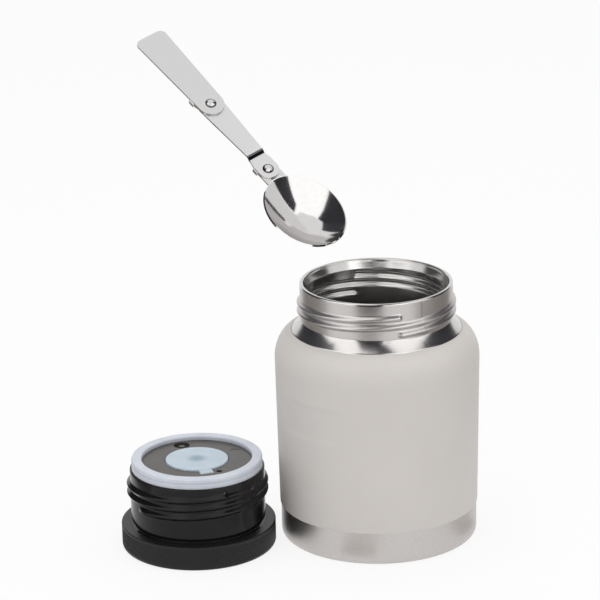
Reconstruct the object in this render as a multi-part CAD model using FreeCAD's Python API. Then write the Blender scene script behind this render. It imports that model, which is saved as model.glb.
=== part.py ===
import FreeCAD, Part
import math
import os

from FreeCAD import Placement, Rotation, Vector

os.makedirs("parts", exist_ok=True)

# Millimetres. The jar stands on Z = 0 with its axis on Z, the stopper stands upside down beside it,
# and the folding spoon floats above the mouth.

# Jar body
BODY_R = 50.0
WALL_TOP = 91.0
COAT_BOTTOM_R = 48.8
BASE_H = 16.4
SHELL_T = 0.8
CROWN_R = 39.5
CROWN_Z = 105.8
COAT_EDGE_R = 41.6

# Steel base
BASE_R = 48.3
FOOT_FILLET = 3.0
FOOT_W = 2.6
BASE_RECESS = 1.6
BASE_LAP = 6.0
LAP_GAP = 0.05
DIMPLE_R = 5.0
DIMPLE_H = 1.6
VENT_HOLE_R = 1.0
BEAD_R = 2.4
BEAD_H = 1.0
DISC_R = 16.0
DISC_T = 0.8

# Recessed panel on the front left of the body
PANEL_W = 43.0
PANEL_H = 18.5
PANEL_R = 5.0
PANEL_DEPTH = 0.3
PANEL_Z = 69.5
PANEL_TURN = -46.0

# Neck, two sheets closed by a rounded lip
NECK_R = 37.2
NECK_SHEET = 0.65
RIM_Z = 129.1
LIP_H = 1.2
LIP_W = 1.9
NECK_STEP_Z = 111.0
NECK_STEP = 0.12
FLARE_BEND = 0.42
FLARE_SAG = 0.3
FLARE_IN = 0.45
FLARE_UNDER = 0.5
LAND_R = 34.0
LEAD_IN_H = 4.6
SHEET_GAP = 0.05

# Thread, two starts
THREAD_LEAD = 8.6
THREAD_STARTS = 2
NECK_THREAD_TOP = 121.8
NECK_THREAD_TURN = 364.0
NECK_THREAD_START = -72.0
RIDGE_H = 1.6
RIDGE_HALF = 1.75
GROOVE_DEPTH = 1.5
GROOVE_HALF = 1.95
THREAD_EMBED = 0.3

# Liner
LINER_T = 0.6
VACUUM_GAP = 5.2
LINER_BOTTOM = 9.4
LINER_CORNER = 10.6
SHOULDER_LOW = 90.0
SEAT_R = 31.4
SEAT_TOP = 103.0
SEAT_BOTTOM = 98.2
SEAT_BAND = 1.0
SHIELD_GAP = 0.15
SHIELD_T = 0.2
SHIELD_LOW = 24.0
SHIELD_TOP = 84.0
GETTER_R = 4.5
GETTER_H = 1.4
GETTER_OFFSET = 22.0

# Stopper, measured upwards from the table while it stands on its top
LID_X = -89.1
LID_Y = -13.5
RING_R = 37.9
RING_H = 12.3
RING_FILLET = 2.5
RING_CHAMFER = 0.5
RING_FIT = 0.1
HEAD_R = 33.3
HEAD_LOW = 2.6
UNDERCUT_R = 31.6
UNDERCUT_H = 1.9
PLUG_R = 33.0
PLUG_TOP = 40.0
PLUG_CHAMFER = 0.6
PLUG_BORE_R = 30.6
DECK_T = 2.0
PLUG_THREAD_CREST = 34.7
PLUG_THREAD_HALF = 1.6
PLUG_THREAD_TOP = 36.2
PLUG_THREAD_TURN = 480.0
PLUG_THREAD_START = 150.0
VENT_R = 1.2
VENT_Z = 36.6
VENT_ANGLE = -64.0
TRAY_GAP = 0.15
TRAY_T = 0.8
TRAY_LIP_T = 0.5
TRAY_FLOOR_Z = 17.0
FOAM_GAP = 0.3

# Underside of the stopper, which faces up here
PLATE_R = 26.9
PLATE_TOP = 43.2
WELL_DEPTH = 1.1
SEAL_R = 32.05
SEAL_TOP = 45.3
SEAL_FIT = 0.1
SEAL_GROOVE = 0.55
SEAL_GROOVE_HALF = 0.35
SEAL_GROOVE_LIFT = 0.2
SEAL_FOOT_IN = 0.4
SEAL_FOOT_UP = 0.5
SEAL_CROWN = 1.1
VALVE_R = 15.4
VALVE_FIT = 0.3
VALVE_PROUD = 0.7
VALVE_SEAT_GAP = 0.1
VALVE_DIMPLE_R = 4.0
VALVE_DIMPLE = 0.45
VALVE_TAB_W = 6.6
VALVE_TAB_REACH = 19.2
VALVE_TAB_ANGLE = -73.0
STEM_R = 2.0
STEM_FIT = 0.25
STEM_LOW = 35.0
BULB_R = 3.1
BULB_GAP = 1.2
STEM_POCKET_R = 4.5
STEM_POCKET_H = 4.6
KEY_HOLE_R = 4.0
KEY_BOSS_R = 1.5
KEY_BOSS_H = 1.4
KEY_HOLE_AT = 21.4
KEY_HOLE_ANGLE = 112.0
PIN_HOLE_R = 1.5
PIN_HOLE_AT = 19.5
PIN_HOLE_ANGLE = -55.0
PLATE_MARK_R = 2.5
PLATE_MARK_DEPTH = 0.15
PLATE_MARK_AT = 21.4
PLATE_MARK_ANGLE = 31.0
PLATE_HOLE_DEPTH = 1.8

# Spoon cover and its hinge
COVER_R = 32.8
COVER_T = 2.0
COVER_CHORD = 26.0
CHORD_GAP = 0.7
LAND_LIFT = 0.2
HINGE_Z = 3.6
KNUCKLE_R = 1.7
KNUCKLE_HALF = 2.9
ARM_LAP = 3.0
NOTCH_HALF = 3.15
NOTCH_TOP = 7.6
HINGE_PIN_R = 0.75
PIN_RUNNING = 0.05
PIN_TIGHT = 0.01
HINGE_BORE_HALF = 6.6
HINGE_PIN_HALF = 6.3

# Spoon, along its own axis from the bowl rivet
SHEET_T = 1.0
PLATE_CLEAR = 0.1
BOWL_TIP = 51.4
BOWL_LENGTH = 44.8
BOWL_W = 34.7
BOWL_DEPTH = 9.2
BOWL_T = 0.9
BOWL_NECK_R = 5.4
LINK_LENGTH = 46.1
LINK_W = 9.2
LINK_END_R = 6.6
JOGGLE_AT = 8.9
JOGGLE_RUN = 1.8
JOGGLE_RISE = 1.2
HANDLE_LENGTH = 51.1
HANDLE_END_W = 17.2
HANDLE_NECK_R = 6.7
HANDLE_CORNER = 3.4
RIVET_R = 1.4
RIVET_RUNNING = 0.05
RIVET_HEAD_R = 2.75
RIVET_HEAD_H = 0.95
RIVET_TAIL_R = 2.3
RIVET_TAIL_END_R = 1.9
RIVET_TAIL_H = 0.6
STOP_T = 0.9
STOP_L = 3.4
STOP_GAP = 0.12
STOP_LAP = 1.9
STOP_CHAMFER = 2.2
HANDLE_STOP_AT = 5.5
BOWL_STOP_AT = 2.3

# Where the spoon floats, by the place of its bowl rivet, and how it is turned
SPOON_AT = Vector(-51.2, 10.4, 182.8)
SPOON_LEAN = 48.9
SPOON_BACK = 18.4
SPOON_DIP = 23.8
SPOON_ROLL = -28.7

LID_AT = Vector(LID_X, LID_Y, 0)

# How far a cutting tool stands out of the piece, and lengths that count as nothing
CLEAR = 10.0
TINY = 1e-4


def rz(r, z):
    """A point of a section, at radius r and height z."""
    return Vector(r, 0, z)


def line(*points):
    """Straight edges through the points."""
    return [Part.LineSegment(a, b).toShape() for a, b in zip(points, points[1:])]


def arc(a, mid, b):
    """A round edge through three points."""
    return [Part.Arc(a, mid, b).toShape()]


def corner(centre, radius, start_deg, end_deg):
    """A round edge of a section, by its centre and its two angles."""
    angles = (start_deg, (start_deg + end_deg) / 2, end_deg)
    places = [
        rz(centre.x + radius * math.cos(math.radians(t)), centre.z + radius * math.sin(math.radians(t)))
        for t in angles
    ]
    return arc(*places)


def lathe(edges):
    """The solid turned round Z from a closed section."""
    wire = Part.Wire(Part.__sortEdges__(edges))
    return Part.Face(wire).revolve(Vector(0, 0, 0), Vector(0, 0, 1), 360)


def turned(*points):
    """The solid turned round Z from a section with straight sides."""
    return lathe(line(*points, points[0]))


def cylinder(radius, low, high):
    return Part.makeCylinder(radius, high - low, Vector(0, 0, low))


def tube(outer, inner, low, high):
    return cylinder(outer, low, high).cut(cylinder(inner, low - CLEAR, high + CLEAR))


def on_circle(radius, degrees, z):
    angle = math.radians(degrees)
    return Vector(radius * math.cos(angle), radius * math.sin(angle), z)


def thread(root_r, crest_r, half, top_z, start_deg, turn_deg):
    """Helical ridges of a right-hand thread, one for each start, running down from top_z."""
    height = THREAD_LEAD * turn_deg / 360
    low = top_z - height
    ridges = []
    for start in range(THREAD_STARTS):
        path = Part.Wire(Part.makeHelix(THREAD_LEAD, height, root_r).Edges)
        foot = line(rz(root_r, half), rz(root_r, -half))
        crest = arc(rz(root_r, -half), rz(crest_r, 0), rz(root_r, half))
        ridge = path.makePipeShell([Part.Wire(foot + crest)], True, True)
        ridge = Part.Solid(ridge) if ridge.ShapeType == "Shell" else ridge
        ridge.rotate(Vector(0, 0, 0), Vector(0, 0, 1), start_deg - turn_deg + start * 360 / THREAD_STARTS)
        ridge.translate(Vector(0, 0, low))
        ridges.append(ridge)
    return ridges


def save(name, shape):
    """Writes one piece, as separate solids."""
    shape.exportStep(f"parts/{name}.step")


def shoulder(wall_r, crown_z):
    """Elliptic edge of the shoulder, and its upper end where the coat meets the neck's flare."""
    turn = math.asin((COAT_EDGE_R - CROWN_R) / (wall_r - CROWN_R))
    oval = Part.Ellipse(rz(CROWN_R, crown_z), rz(wall_r, WALL_TOP), rz(CROWN_R, WALL_TOP))
    end = rz(COAT_EDGE_R, WALL_TOP + (crown_z - WALL_TOP) * math.cos(turn))
    return Part.ArcOfEllipse(oval, turn, math.pi / 2).toShape(), end


def outer_shell():
    """Coated steel body with its soft shoulder, down to the steel base."""
    outer, outer_end = shoulder(BODY_R, CROWN_Z)
    inner, inner_end = shoulder(BODY_R - SHELL_T, CROWN_Z - SHELL_T)
    edges = [outer, inner] + line(outer_end, inner_end)
    edges += line(rz(BODY_R, WALL_TOP), rz(COAT_BOTTOM_R, BASE_H), rz(COAT_BOTTOM_R - SHELL_T, BASE_H))
    edges += line(rz(COAT_BOTTOM_R - SHELL_T, BASE_H), rz(BODY_R - SHELL_T, WALL_TOP))
    return lathe(edges).cut(panel_cut())


def panel_cut():
    """Skin-deep cut with rounded corners for the bare panel on the body."""
    half_w = PANEL_W / 2 - PANEL_R
    half_h = PANEL_H / 2 - PANEL_R
    reach = BODY_R + CLEAR
    flat = Part.makeBox(2 * half_w, reach, PANEL_H, Vector(-half_w, -reach, PANEL_Z - PANEL_H / 2))
    tall = Part.makeBox(PANEL_W, reach, 2 * half_h, Vector(-PANEL_W / 2, -reach, PANEL_Z - half_h))
    outline = flat.fuse(tall)
    for side in (-half_w, half_w):
        for level in (-half_h, half_h):
            place = Vector(side, -reach, PANEL_Z + level)
            outline = outline.fuse(Part.makeCylinder(PANEL_R, reach, place, Vector(0, 1, 0)))
    wall_slope = (BODY_R - COAT_BOTTOM_R) / (WALL_TOP - BASE_H)
    low = PANEL_Z - PANEL_H
    high = PANEL_Z + PANEL_H
    floor_low = BODY_R - (WALL_TOP - low) * wall_slope - PANEL_DEPTH
    floor_high = BODY_R - (WALL_TOP - high) * wall_slope - PANEL_DEPTH
    core = Part.makeCone(floor_low, floor_high, high - low, Vector(0, 0, low))
    cut = outline.removeSplitter().cut(core)
    cut.rotate(Vector(0, 0, 0), Vector(0, 0, 1), PANEL_TURN)
    return cut


def base_cup():
    """Brushed steel foot of the jar, with a recessed bottom and the evacuation dimple."""
    t = SHELL_T
    lap_r = COAT_BOTTOM_R - SHELL_T - LAP_GAP
    foot_r = BASE_R - FOOT_FILLET
    recess_r = foot_r - FOOT_W
    slope_r = recess_r - BASE_RECESS
    dimple_top = BASE_RECESS + DIMPLE_H
    edges = line(rz(lap_r - t, BASE_H + BASE_LAP), rz(lap_r, BASE_H + BASE_LAP), rz(lap_r, BASE_H))
    edges += line(rz(lap_r, BASE_H), rz(BASE_R, BASE_H), rz(BASE_R, FOOT_FILLET))
    edges += corner(rz(foot_r, FOOT_FILLET), FOOT_FILLET, 0, -90)
    edges += line(rz(foot_r, 0), rz(recess_r, 0), rz(slope_r, BASE_RECESS), rz(DIMPLE_R, BASE_RECESS))
    edges += line(rz(DIMPLE_R, BASE_RECESS), rz(DIMPLE_R - DIMPLE_H, dimple_top), rz(VENT_HOLE_R, dimple_top))
    edges += line(rz(VENT_HOLE_R, dimple_top), rz(VENT_HOLE_R, dimple_top + t))
    edges += line(rz(VENT_HOLE_R, dimple_top + t), rz(DIMPLE_R - DIMPLE_H + t, dimple_top + t))
    edges += line(rz(DIMPLE_R - DIMPLE_H + t, dimple_top + t), rz(DIMPLE_R + t, BASE_RECESS + t))
    edges += line(rz(DIMPLE_R + t, BASE_RECESS + t), rz(slope_r, BASE_RECESS + t), rz(recess_r, t))
    edges += line(rz(recess_r, t), rz(foot_r, t))
    edges += corner(rz(foot_r, FOOT_FILLET), FOOT_FILLET - t, 0, -90)
    inner_r = BASE_R - t
    edges += line(rz(inner_r, FOOT_FILLET), rz(inner_r, BASE_H - t), rz(lap_r - t, BASE_H))
    edges += line(rz(lap_r - t, BASE_H), rz(lap_r - t, BASE_H + BASE_LAP))
    return lathe(edges)


def inner_vessel():
    """Food liner: one drawn steel body from the rounded lip down to the bottom."""
    t = LINER_T
    body_r = BODY_R - VACUUM_GAP - SHELL_T
    outer_neck = NECK_R - NECK_SHEET - SHEET_GAP
    corner_r = body_r - LINER_CORNER
    seam = RIM_Z - LIP_H
    lip_r = NECK_R - LIP_W
    lip_mid = NECK_R - LIP_W / 2
    edges = line(rz(0, LINER_BOTTOM), rz(corner_r, LINER_BOTTOM))
    edges += corner(rz(corner_r, LINER_BOTTOM + LINER_CORNER), LINER_CORNER, -90, 0)
    edges += line(rz(body_r, LINER_BOTTOM + LINER_CORNER), rz(body_r, SHOULDER_LOW))
    edges += line(rz(body_r, SHOULDER_LOW), rz(SEAT_R + t, SEAT_BOTTOM), rz(LAND_R + t, SEAT_TOP - t))
    edges += line(rz(LAND_R + t, SEAT_TOP - t), rz(outer_neck, SEAT_TOP - t), rz(outer_neck, seam))
    edges += line(rz(outer_neck, seam), rz(NECK_R, seam), rz(NECK_R, RIM_Z - LIP_W / 2))
    edges += arc(
        rz(NECK_R, RIM_Z - LIP_W / 2),
        rz(lip_mid + LIP_W / 2 * math.sqrt(0.5), RIM_Z - LIP_W / 2 * (1 - math.sqrt(0.5))),
        rz(lip_mid, RIM_Z),
    )
    edges += arc(
        rz(lip_mid, RIM_Z),
        rz(lip_mid - LIP_W / 2 * math.sqrt(0.5), RIM_Z - LIP_W / 2 * (1 - math.sqrt(0.5))),
        rz(lip_r, RIM_Z - LIP_W / 2),
    )
    edges += line(rz(lip_r, RIM_Z - LIP_W / 2), rz(LAND_R, RIM_Z - LEAD_IN_H), rz(LAND_R, SEAT_TOP))
    edges += line(rz(LAND_R, SEAT_TOP), rz(SEAT_R, SEAT_BOTTOM), rz(SEAT_R, SEAT_BOTTOM - SEAT_BAND))
    edges += line(rz(SEAT_R, SEAT_BOTTOM - SEAT_BAND), rz(body_r - t, SHOULDER_LOW - SEAT_BAND))
    edges += line(rz(body_r - t, SHOULDER_LOW - SEAT_BAND), rz(body_r - t, LINER_BOTTOM + LINER_CORNER))
    edges += corner(rz(corner_r, LINER_BOTTOM + LINER_CORNER), LINER_CORNER - t, 0, -90)
    edges += line(rz(corner_r, LINER_BOTTOM + t), rz(0, LINER_BOTTOM + t), rz(0, LINER_BOTTOM))
    vessel = lathe(edges)
    for groove in thread(
        LAND_R - THREAD_EMBED,
        LAND_R + GROOVE_DEPTH,
        GROOVE_HALF,
        NECK_THREAD_TOP,
        NECK_THREAD_START,
        NECK_THREAD_TURN,
    ):
        vessel = vessel.cut(groove)
    return vessel


def neck_collar():
    """Bare steel sleeve of the neck, with the thread's ridges and a flared, polished foot."""
    seam = RIM_Z - LIP_H
    inner = NECK_R - NECK_SHEET
    gap = Vector(SHEET_GAP, 0, 0)
    foot = shoulder(BODY_R, CROWN_Z)[1] - gap
    under_foot = shoulder(BODY_R - SHELL_T, CROWN_Z - SHELL_T)[1] - gap
    step = rz(NECK_R - NECK_STEP, NECK_STEP_Z - NECK_STEP)
    bend = rz(step.x + (foot.x - step.x) * FLARE_BEND, (step.z + foot.z) / 2 - FLARE_SAG)
    under_step = rz(inner, step.z - FLARE_UNDER)
    under_bend = bend - rz(FLARE_IN, FLARE_UNDER)
    edges = line(under_step, rz(inner, seam), rz(NECK_R, seam), rz(NECK_R, NECK_STEP_Z), step)
    edges += arc(step, bend, foot) + line(foot, under_foot) + arc(under_foot, under_bend, under_step)
    collar = lathe(edges)
    for ridge in thread(
        NECK_R - THREAD_EMBED,
        NECK_R + RIDGE_H,
        RIDGE_HALF,
        NECK_THREAD_TOP,
        NECK_THREAD_START,
        NECK_THREAD_TURN,
    ):
        collar = collar.fuse(ridge)
    return collar


def jar_inside():
    """Pieces that the double wall hides."""
    shield_r = BODY_R - SHELL_T - VACUUM_GAP + SHIELD_GAP
    shield = tube(shield_r + SHIELD_T, shield_r, SHIELD_LOW, SHIELD_TOP)
    getter = cylinder(GETTER_R, LINER_BOTTOM - GETTER_H, LINER_BOTTOM)
    getter.translate(Vector(GETTER_OFFSET, 0, 0))
    bead_top = BASE_RECESS + DIMPLE_H
    bead = cylinder(BEAD_R, bead_top - BEAD_H, bead_top)
    disc = cylinder(DISC_R, BASE_RECESS - DISC_T, BASE_RECESS)
    disc = disc.makeChamfer(DISC_T / 3, [e for e in disc.Edges if e.BoundBox.ZMax < BASE_RECESS - DISC_T / 2])
    return shield, getter, bead, disc


def hinge_axis_y():
    """Distance of the cover's hinge from the lid's middle."""
    return RING_R - RING_FILLET


def hinge_rod(radius, half):
    return Part.makeCylinder(radius, 2 * half, Vector(-half, hinge_axis_y(), HINGE_Z), Vector(1, 0, 0))


def grip_ring():
    """Ring that the hand turns, pressed on the stopper's head."""
    bore = HEAD_R + RING_FIT
    edges = line(rz(bore, 0), rz(RING_R - RING_FILLET, 0))
    edges += corner(rz(RING_R - RING_FILLET, RING_FILLET), RING_FILLET, -90, 0)
    edges += line(rz(RING_R, RING_FILLET), rz(RING_R, RING_H - RING_CHAMFER))
    edges += line(rz(RING_R, RING_H - RING_CHAMFER), rz(RING_R - RING_CHAMFER, RING_H))
    edges += line(rz(RING_R - RING_CHAMFER, RING_H), rz(bore, RING_H), rz(bore, 0))
    notch_place = Vector(-NOTCH_HALF, COVER_CHORD, -CLEAR)
    notch = Part.makeBox(2 * NOTCH_HALF, RING_R, NOTCH_TOP + CLEAR, notch_place)
    return lathe(edges).cut(notch).cut(hinge_rod(HINGE_PIN_R + PIN_RUNNING, HINGE_BORE_HALF))


def stopper_body():
    """Black plug: threaded wall, head inside the grip ring, and the deck that carries the plate."""
    wall_low = RING_H + UNDERCUT_H
    wall_high = PLUG_TOP - PLUG_CHAMFER
    deck_low = PLUG_TOP - DECK_T
    body = turned(
        rz(PLUG_BORE_R, HEAD_LOW),
        rz(HEAD_R, HEAD_LOW),
        rz(HEAD_R, RING_H),
        rz(UNDERCUT_R, RING_H),
        rz(UNDERCUT_R, wall_low),
        rz(PLUG_R, wall_low),
        rz(PLUG_R, wall_high),
        rz(PLUG_R - PLUG_CHAMFER, PLUG_TOP),
        rz(0, PLUG_TOP),
        rz(0, deck_low),
        rz(PLUG_BORE_R, deck_low),
    )
    for ridge in thread(
        PLUG_R - THREAD_EMBED,
        PLUG_THREAD_CREST,
        PLUG_THREAD_HALF,
        PLUG_THREAD_TOP,
        PLUG_THREAD_START,
        PLUG_THREAD_TURN,
    ):
        body = body.fuse(ridge)
    body = body.cut(cylinder(STEM_R + STEM_FIT, deck_low - CLEAR, PLUG_TOP + CLEAR))
    drill_place = on_circle(PLUG_R - CLEAR, VENT_ANGLE, VENT_Z)
    return body.cut(Part.makeCylinder(VENT_R, 2 * CLEAR, drill_place, on_circle(1, VENT_ANGLE, 0)))


def spoon_tray():
    """Moulded tray in the plug that the folded spoon lies in, with a land beside the cover's hinge."""
    outer = PLUG_BORE_R - TRAY_GAP
    inner = outer - TRAY_T
    lip_r = HEAD_R - RING_FIT
    lip_z = HEAD_LOW - TRAY_LIP_T
    tray = turned(
        rz(lip_r, lip_z),
        rz(lip_r, HEAD_LOW),
        rz(outer, HEAD_LOW),
        rz(outer, TRAY_FLOOR_Z + TRAY_T),
        rz(0, TRAY_FLOOR_Z + TRAY_T),
        rz(0, TRAY_FLOOR_Z),
        rz(inner, TRAY_FLOOR_Z),
        rz(inner, lip_z),
    )
    room_place = Vector(-lip_r, COVER_CHORD + CHORD_GAP - 2 * lip_r, -CLEAR)
    room = Part.makeBox(2 * lip_r, 2 * lip_r, 2 * CLEAR, room_place)
    slot = Part.makeBox(2 * NOTCH_HALF, lip_r, 2 * CLEAR, Vector(-NOTCH_HALF, 0, -CLEAR))
    land = cylinder(lip_r, LAND_LIFT, lip_z).cut(room).cut(slot)
    return tray.fuse(land).removeSplitter()


def insulation_foam():
    """Foam block between the tray and the deck, with a pocket for the valve's stem."""
    deck_low = PLUG_TOP - DECK_T
    foam = cylinder(PLUG_BORE_R - FOAM_GAP, TRAY_FLOOR_Z + TRAY_T, deck_low)
    return foam.cut(cylinder(STEM_POCKET_R, deck_low - STEM_POCKET_H, deck_low + CLEAR))


def tab_box(radius_extra, low, high):
    """Pull tab of the valve disc, or the notch that it lies in."""
    half = VALVE_TAB_W / 2 + radius_extra
    box = Part.makeBox(VALVE_TAB_REACH + radius_extra, 2 * half, high - low, Vector(0, -half, low))
    box.rotate(Vector(0, 0, 0), Vector(0, 0, 1), VALVE_TAB_ANGLE)
    return box


def bottom_plate():
    """Dark plate on the food side, with a well for the valve disc and small assembly holes."""
    well_z = PLATE_TOP - WELL_DEPTH
    plate = cylinder(PLATE_R, PLUG_TOP, PLATE_TOP)
    plate = plate.cut(cylinder(VALVE_R + VALVE_FIT, well_z, PLATE_TOP + CLEAR))
    plate = plate.cut(tab_box(VALVE_FIT, well_z, PLATE_TOP + CLEAR))
    plate = plate.cut(cylinder(STEM_R + STEM_FIT, PLUG_TOP - CLEAR, PLATE_TOP))
    hole_low = PLATE_TOP - PLATE_HOLE_DEPTH
    key_place = on_circle(KEY_HOLE_AT, KEY_HOLE_ANGLE, hole_low)
    pin_place = on_circle(PIN_HOLE_AT, PIN_HOLE_ANGLE, hole_low)
    mark_place = on_circle(PLATE_MARK_AT, PLATE_MARK_ANGLE, PLATE_TOP - PLATE_MARK_DEPTH)
    plate = plate.cut(Part.makeCylinder(KEY_HOLE_R, CLEAR, key_place))
    plate = plate.cut(Part.makeCylinder(PIN_HOLE_R, CLEAR, pin_place))
    plate = plate.cut(Part.makeCylinder(PLATE_MARK_R, CLEAR, mark_place))
    return plate.fuse(Part.makeCylinder(KEY_BOSS_R, KEY_BOSS_H, key_place)).removeSplitter()


def seal_ring():
    """Silicone ring with two lips round its edge and a rounded crown."""
    inner = PLATE_R + SEAL_FIT
    groove = SEAL_R - SEAL_GROOVE
    mid = (PLUG_TOP + SEAL_TOP) / 2 + SEAL_GROOVE_LIFT
    low_lip = mid - SEAL_GROOVE_HALF
    high_lip = mid + SEAL_GROOVE_HALF
    foot = PLUG_TOP + SEAL_FOOT_UP
    top = SEAL_TOP - SEAL_CROWN
    edges = line(rz(inner, PLUG_TOP), rz(SEAL_R - SEAL_FOOT_IN, PLUG_TOP), rz(SEAL_R, foot))
    edges += line(rz(SEAL_R, foot), rz(SEAL_R, low_lip), rz(groove, mid), rz(SEAL_R, high_lip))
    edges += line(rz(SEAL_R, high_lip), rz(SEAL_R, top))
    edges += corner(rz(SEAL_R - SEAL_CROWN, top), SEAL_CROWN, 0, 90)
    edges += line(rz(SEAL_R - SEAL_CROWN, SEAL_TOP), rz(inner + SEAL_CROWN, SEAL_TOP))
    edges += corner(rz(inner + SEAL_CROWN, top), SEAL_CROWN, 90, 180)
    edges += line(rz(inner, top), rz(inner, PLUG_TOP))
    return lathe(edges)


def relief_valve():
    """Silicone valve: a soft disc with a pull tab, and a stem with a bulb below the deck."""
    well_z = PLATE_TOP - WELL_DEPTH + VALVE_SEAT_GAP
    top = PLATE_TOP + VALVE_PROUD
    disc = cylinder(VALVE_R, well_z, top).fuse(tab_box(0, well_z, PLATE_TOP))
    disc = disc.removeSplitter()
    ball_r = (VALVE_DIMPLE_R**2 + VALVE_DIMPLE**2) / (2 * VALVE_DIMPLE)
    disc = disc.cut(Part.makeSphere(ball_r, Vector(0, 0, top + ball_r - VALVE_DIMPLE)))
    stem = cylinder(STEM_R, STEM_LOW, PLATE_TOP - VALVE_SEAT_GAP)
    bulb = cylinder(BULB_R, STEM_LOW, PLUG_TOP - DECK_T - BULB_GAP)
    return disc.fuse(stem).fuse(bulb).removeSplitter()


def spoon_cover():
    """Thin cover over the tray, with a knuckle that reaches into the ring's notch."""
    cover = cylinder(COVER_R, 0, COVER_T)
    far = Part.makeBox(2 * COVER_R, COVER_R, 2 * CLEAR, Vector(-COVER_R, COVER_CHORD, -CLEAR))
    axis_y = hinge_axis_y()
    arm_y = COVER_CHORD - ARM_LAP
    neck_y = axis_y - KNUCKLE_R
    width = 2 * KNUCKLE_HALF
    arm = Part.makeBox(width, axis_y - arm_y, COVER_T, Vector(-KNUCKLE_HALF, arm_y, 0))
    neck = Part.makeBox(width, KNUCKLE_R, HINGE_Z - COVER_T, Vector(-KNUCKLE_HALF, neck_y, COVER_T))
    cover = cover.cut(far).fuse(arm).fuse(neck).fuse(hinge_rod(KNUCKLE_R, KNUCKLE_HALF))
    return cover.removeSplitter().cut(hinge_rod(HINGE_PIN_R + PIN_TIGHT, KNUCKLE_HALF + CLEAR))


def strap(near_r, far_w, length, direction, corner_r):
    """Flat strap from a round end at the origin to a square end with rounded corners."""
    far_x = direction * length
    half = far_w / 2
    slope = math.asin((half - near_r) / length)
    start_x = -direction * near_r * math.sin(slope)
    start_y = near_r * math.cos(slope)
    blank = Part.makePolygon(
        [
            Vector(start_x, start_y, 0),
            Vector(far_x, half, 0),
            Vector(far_x, -half, 0),
            Vector(start_x, -start_y, 0),
            Vector(start_x, start_y, 0),
        ]
    )
    plate = Part.Face(blank).extrude(Vector(0, 0, SHEET_T))
    if corner_r:
        upright = [e for e in plate.Edges if e.BoundBox.XLength < TINY and e.BoundBox.YLength < TINY]
        far_edges = [e for e in upright if abs(e.BoundBox.Center.x - far_x) < TINY]
        plate = plate.makeFillet(corner_r, far_edges)
    return plate.fuse(cylinder(near_r, 0, SHEET_T)).removeSplitter()


def rivet_hole(x):
    return Part.makeCylinder(RIVET_R + RIVET_RUNNING, 2 * CLEAR, Vector(x, 0, -CLEAR))


def scaled_ball(half_x, half_y, half_z):
    """A ball stretched to three half sizes."""
    matrix = FreeCAD.Matrix()
    matrix.scale(half_x, half_y, half_z)
    return Part.makeSphere(1).transformGeometry(matrix)


def spoon_bowl():
    """Polished bowl with its flat neck under the link, and the upturned stop."""
    middle = Vector(BOWL_TIP - BOWL_LENGTH / 2, 0, 0)
    outside = scaled_ball(BOWL_LENGTH / 2, BOWL_W / 2, BOWL_DEPTH)
    inside = scaled_ball(BOWL_LENGTH / 2 - BOWL_T, BOWL_W / 2 - BOWL_T, BOWL_DEPTH - BOWL_T)
    outside.translate(middle)
    inside.translate(middle)
    above = Part.makeBox(2 * BOWL_TIP, 2 * BOWL_W, 2 * CLEAR, Vector(-BOWL_TIP / 2, -BOWL_W, 0))
    neck = strap(BOWL_NECK_R, 2 * BOWL_NECK_R, middle.x, 1, 0)
    neck.translate(Vector(0, 0, -SHEET_T))
    bowl = outside.cut(above).fuse(neck).cut(inside)
    stop_place = Vector(-BOWL_STOP_AT - STOP_L / 2, -BOWL_NECK_R - STOP_GAP - STOP_T, -SHEET_T)
    wing = Part.makeBox(STOP_L, STOP_T + STOP_GAP + STOP_LAP, SHEET_T, stop_place)
    post = Part.makeBox(STOP_L, STOP_T, 2 * SHEET_T, stop_place)
    return bowl.fuse(wing).fuse(post).removeSplitter().cut(rivet_hole(0))


def link_levels():
    """Undersides of the link's low end, the link's long part and the handle."""
    low = PLATE_CLEAR
    main = low + JOGGLE_RISE
    handle = main + SHEET_T + PLATE_CLEAR
    return low, main, handle


def spoon_link():
    """Middle strap: a low round end on the bowl, a joggle, and a wide end under the handle."""
    low, main, handle = link_levels()
    slope_end = JOGGLE_AT + JOGGLE_RUN
    half = LINK_W / 2
    low_end = cylinder(BOWL_NECK_R, low, low + SHEET_T)
    low_end = low_end.fuse(Part.makeBox(JOGGLE_AT, LINK_W, SHEET_T, Vector(-JOGGLE_AT, -half, low)))
    side = [
        Vector(-JOGGLE_AT, -half, low),
        Vector(-JOGGLE_AT, -half, low + SHEET_T),
        Vector(-slope_end, -half, main + SHEET_T),
        Vector(-slope_end, -half, main),
        Vector(-JOGGLE_AT, -half, low),
    ]
    ramp = Part.Face(Part.makePolygon(side)).extrude(Vector(0, LINK_W, 0))
    long_part = strap(LINK_END_R, LINK_W, LINK_LENGTH - slope_end, 1, 0)
    long_part.translate(Vector(-LINK_LENGTH, 0, main))
    stop_x = -LINK_LENGTH - HANDLE_STOP_AT - STOP_L / 2
    stop_y = -handle_half(HANDLE_STOP_AT) - STOP_GAP - STOP_T
    wing = Part.makeBox(HANDLE_STOP_AT + STOP_L / 2, -stop_y, SHEET_T, Vector(stop_x, stop_y, main))
    inner_corner = [
        e for e in wing.Edges
        if e.BoundBox.ZLength > TINY and e.BoundBox.XMax < stop_x + TINY and e.BoundBox.YMin > stop_y + TINY
    ]
    wing = wing.makeChamfer(STOP_CHAMFER, inner_corner)
    post = Part.makeBox(STOP_L, STOP_T, handle + SHEET_T - main, Vector(stop_x, stop_y, main))
    link = low_end.fuse([ramp, long_part, wing, post]).removeSplitter()
    return link.cut(rivet_hole(0)).cut(rivet_hole(-LINK_LENGTH))


def handle_half(distance):
    """Half width of the handle at a distance from its rivet."""
    slope = math.asin((HANDLE_END_W / 2 - HANDLE_NECK_R) / HANDLE_LENGTH)
    return (HANDLE_NECK_R + distance * math.sin(slope)) / math.cos(slope)


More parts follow.
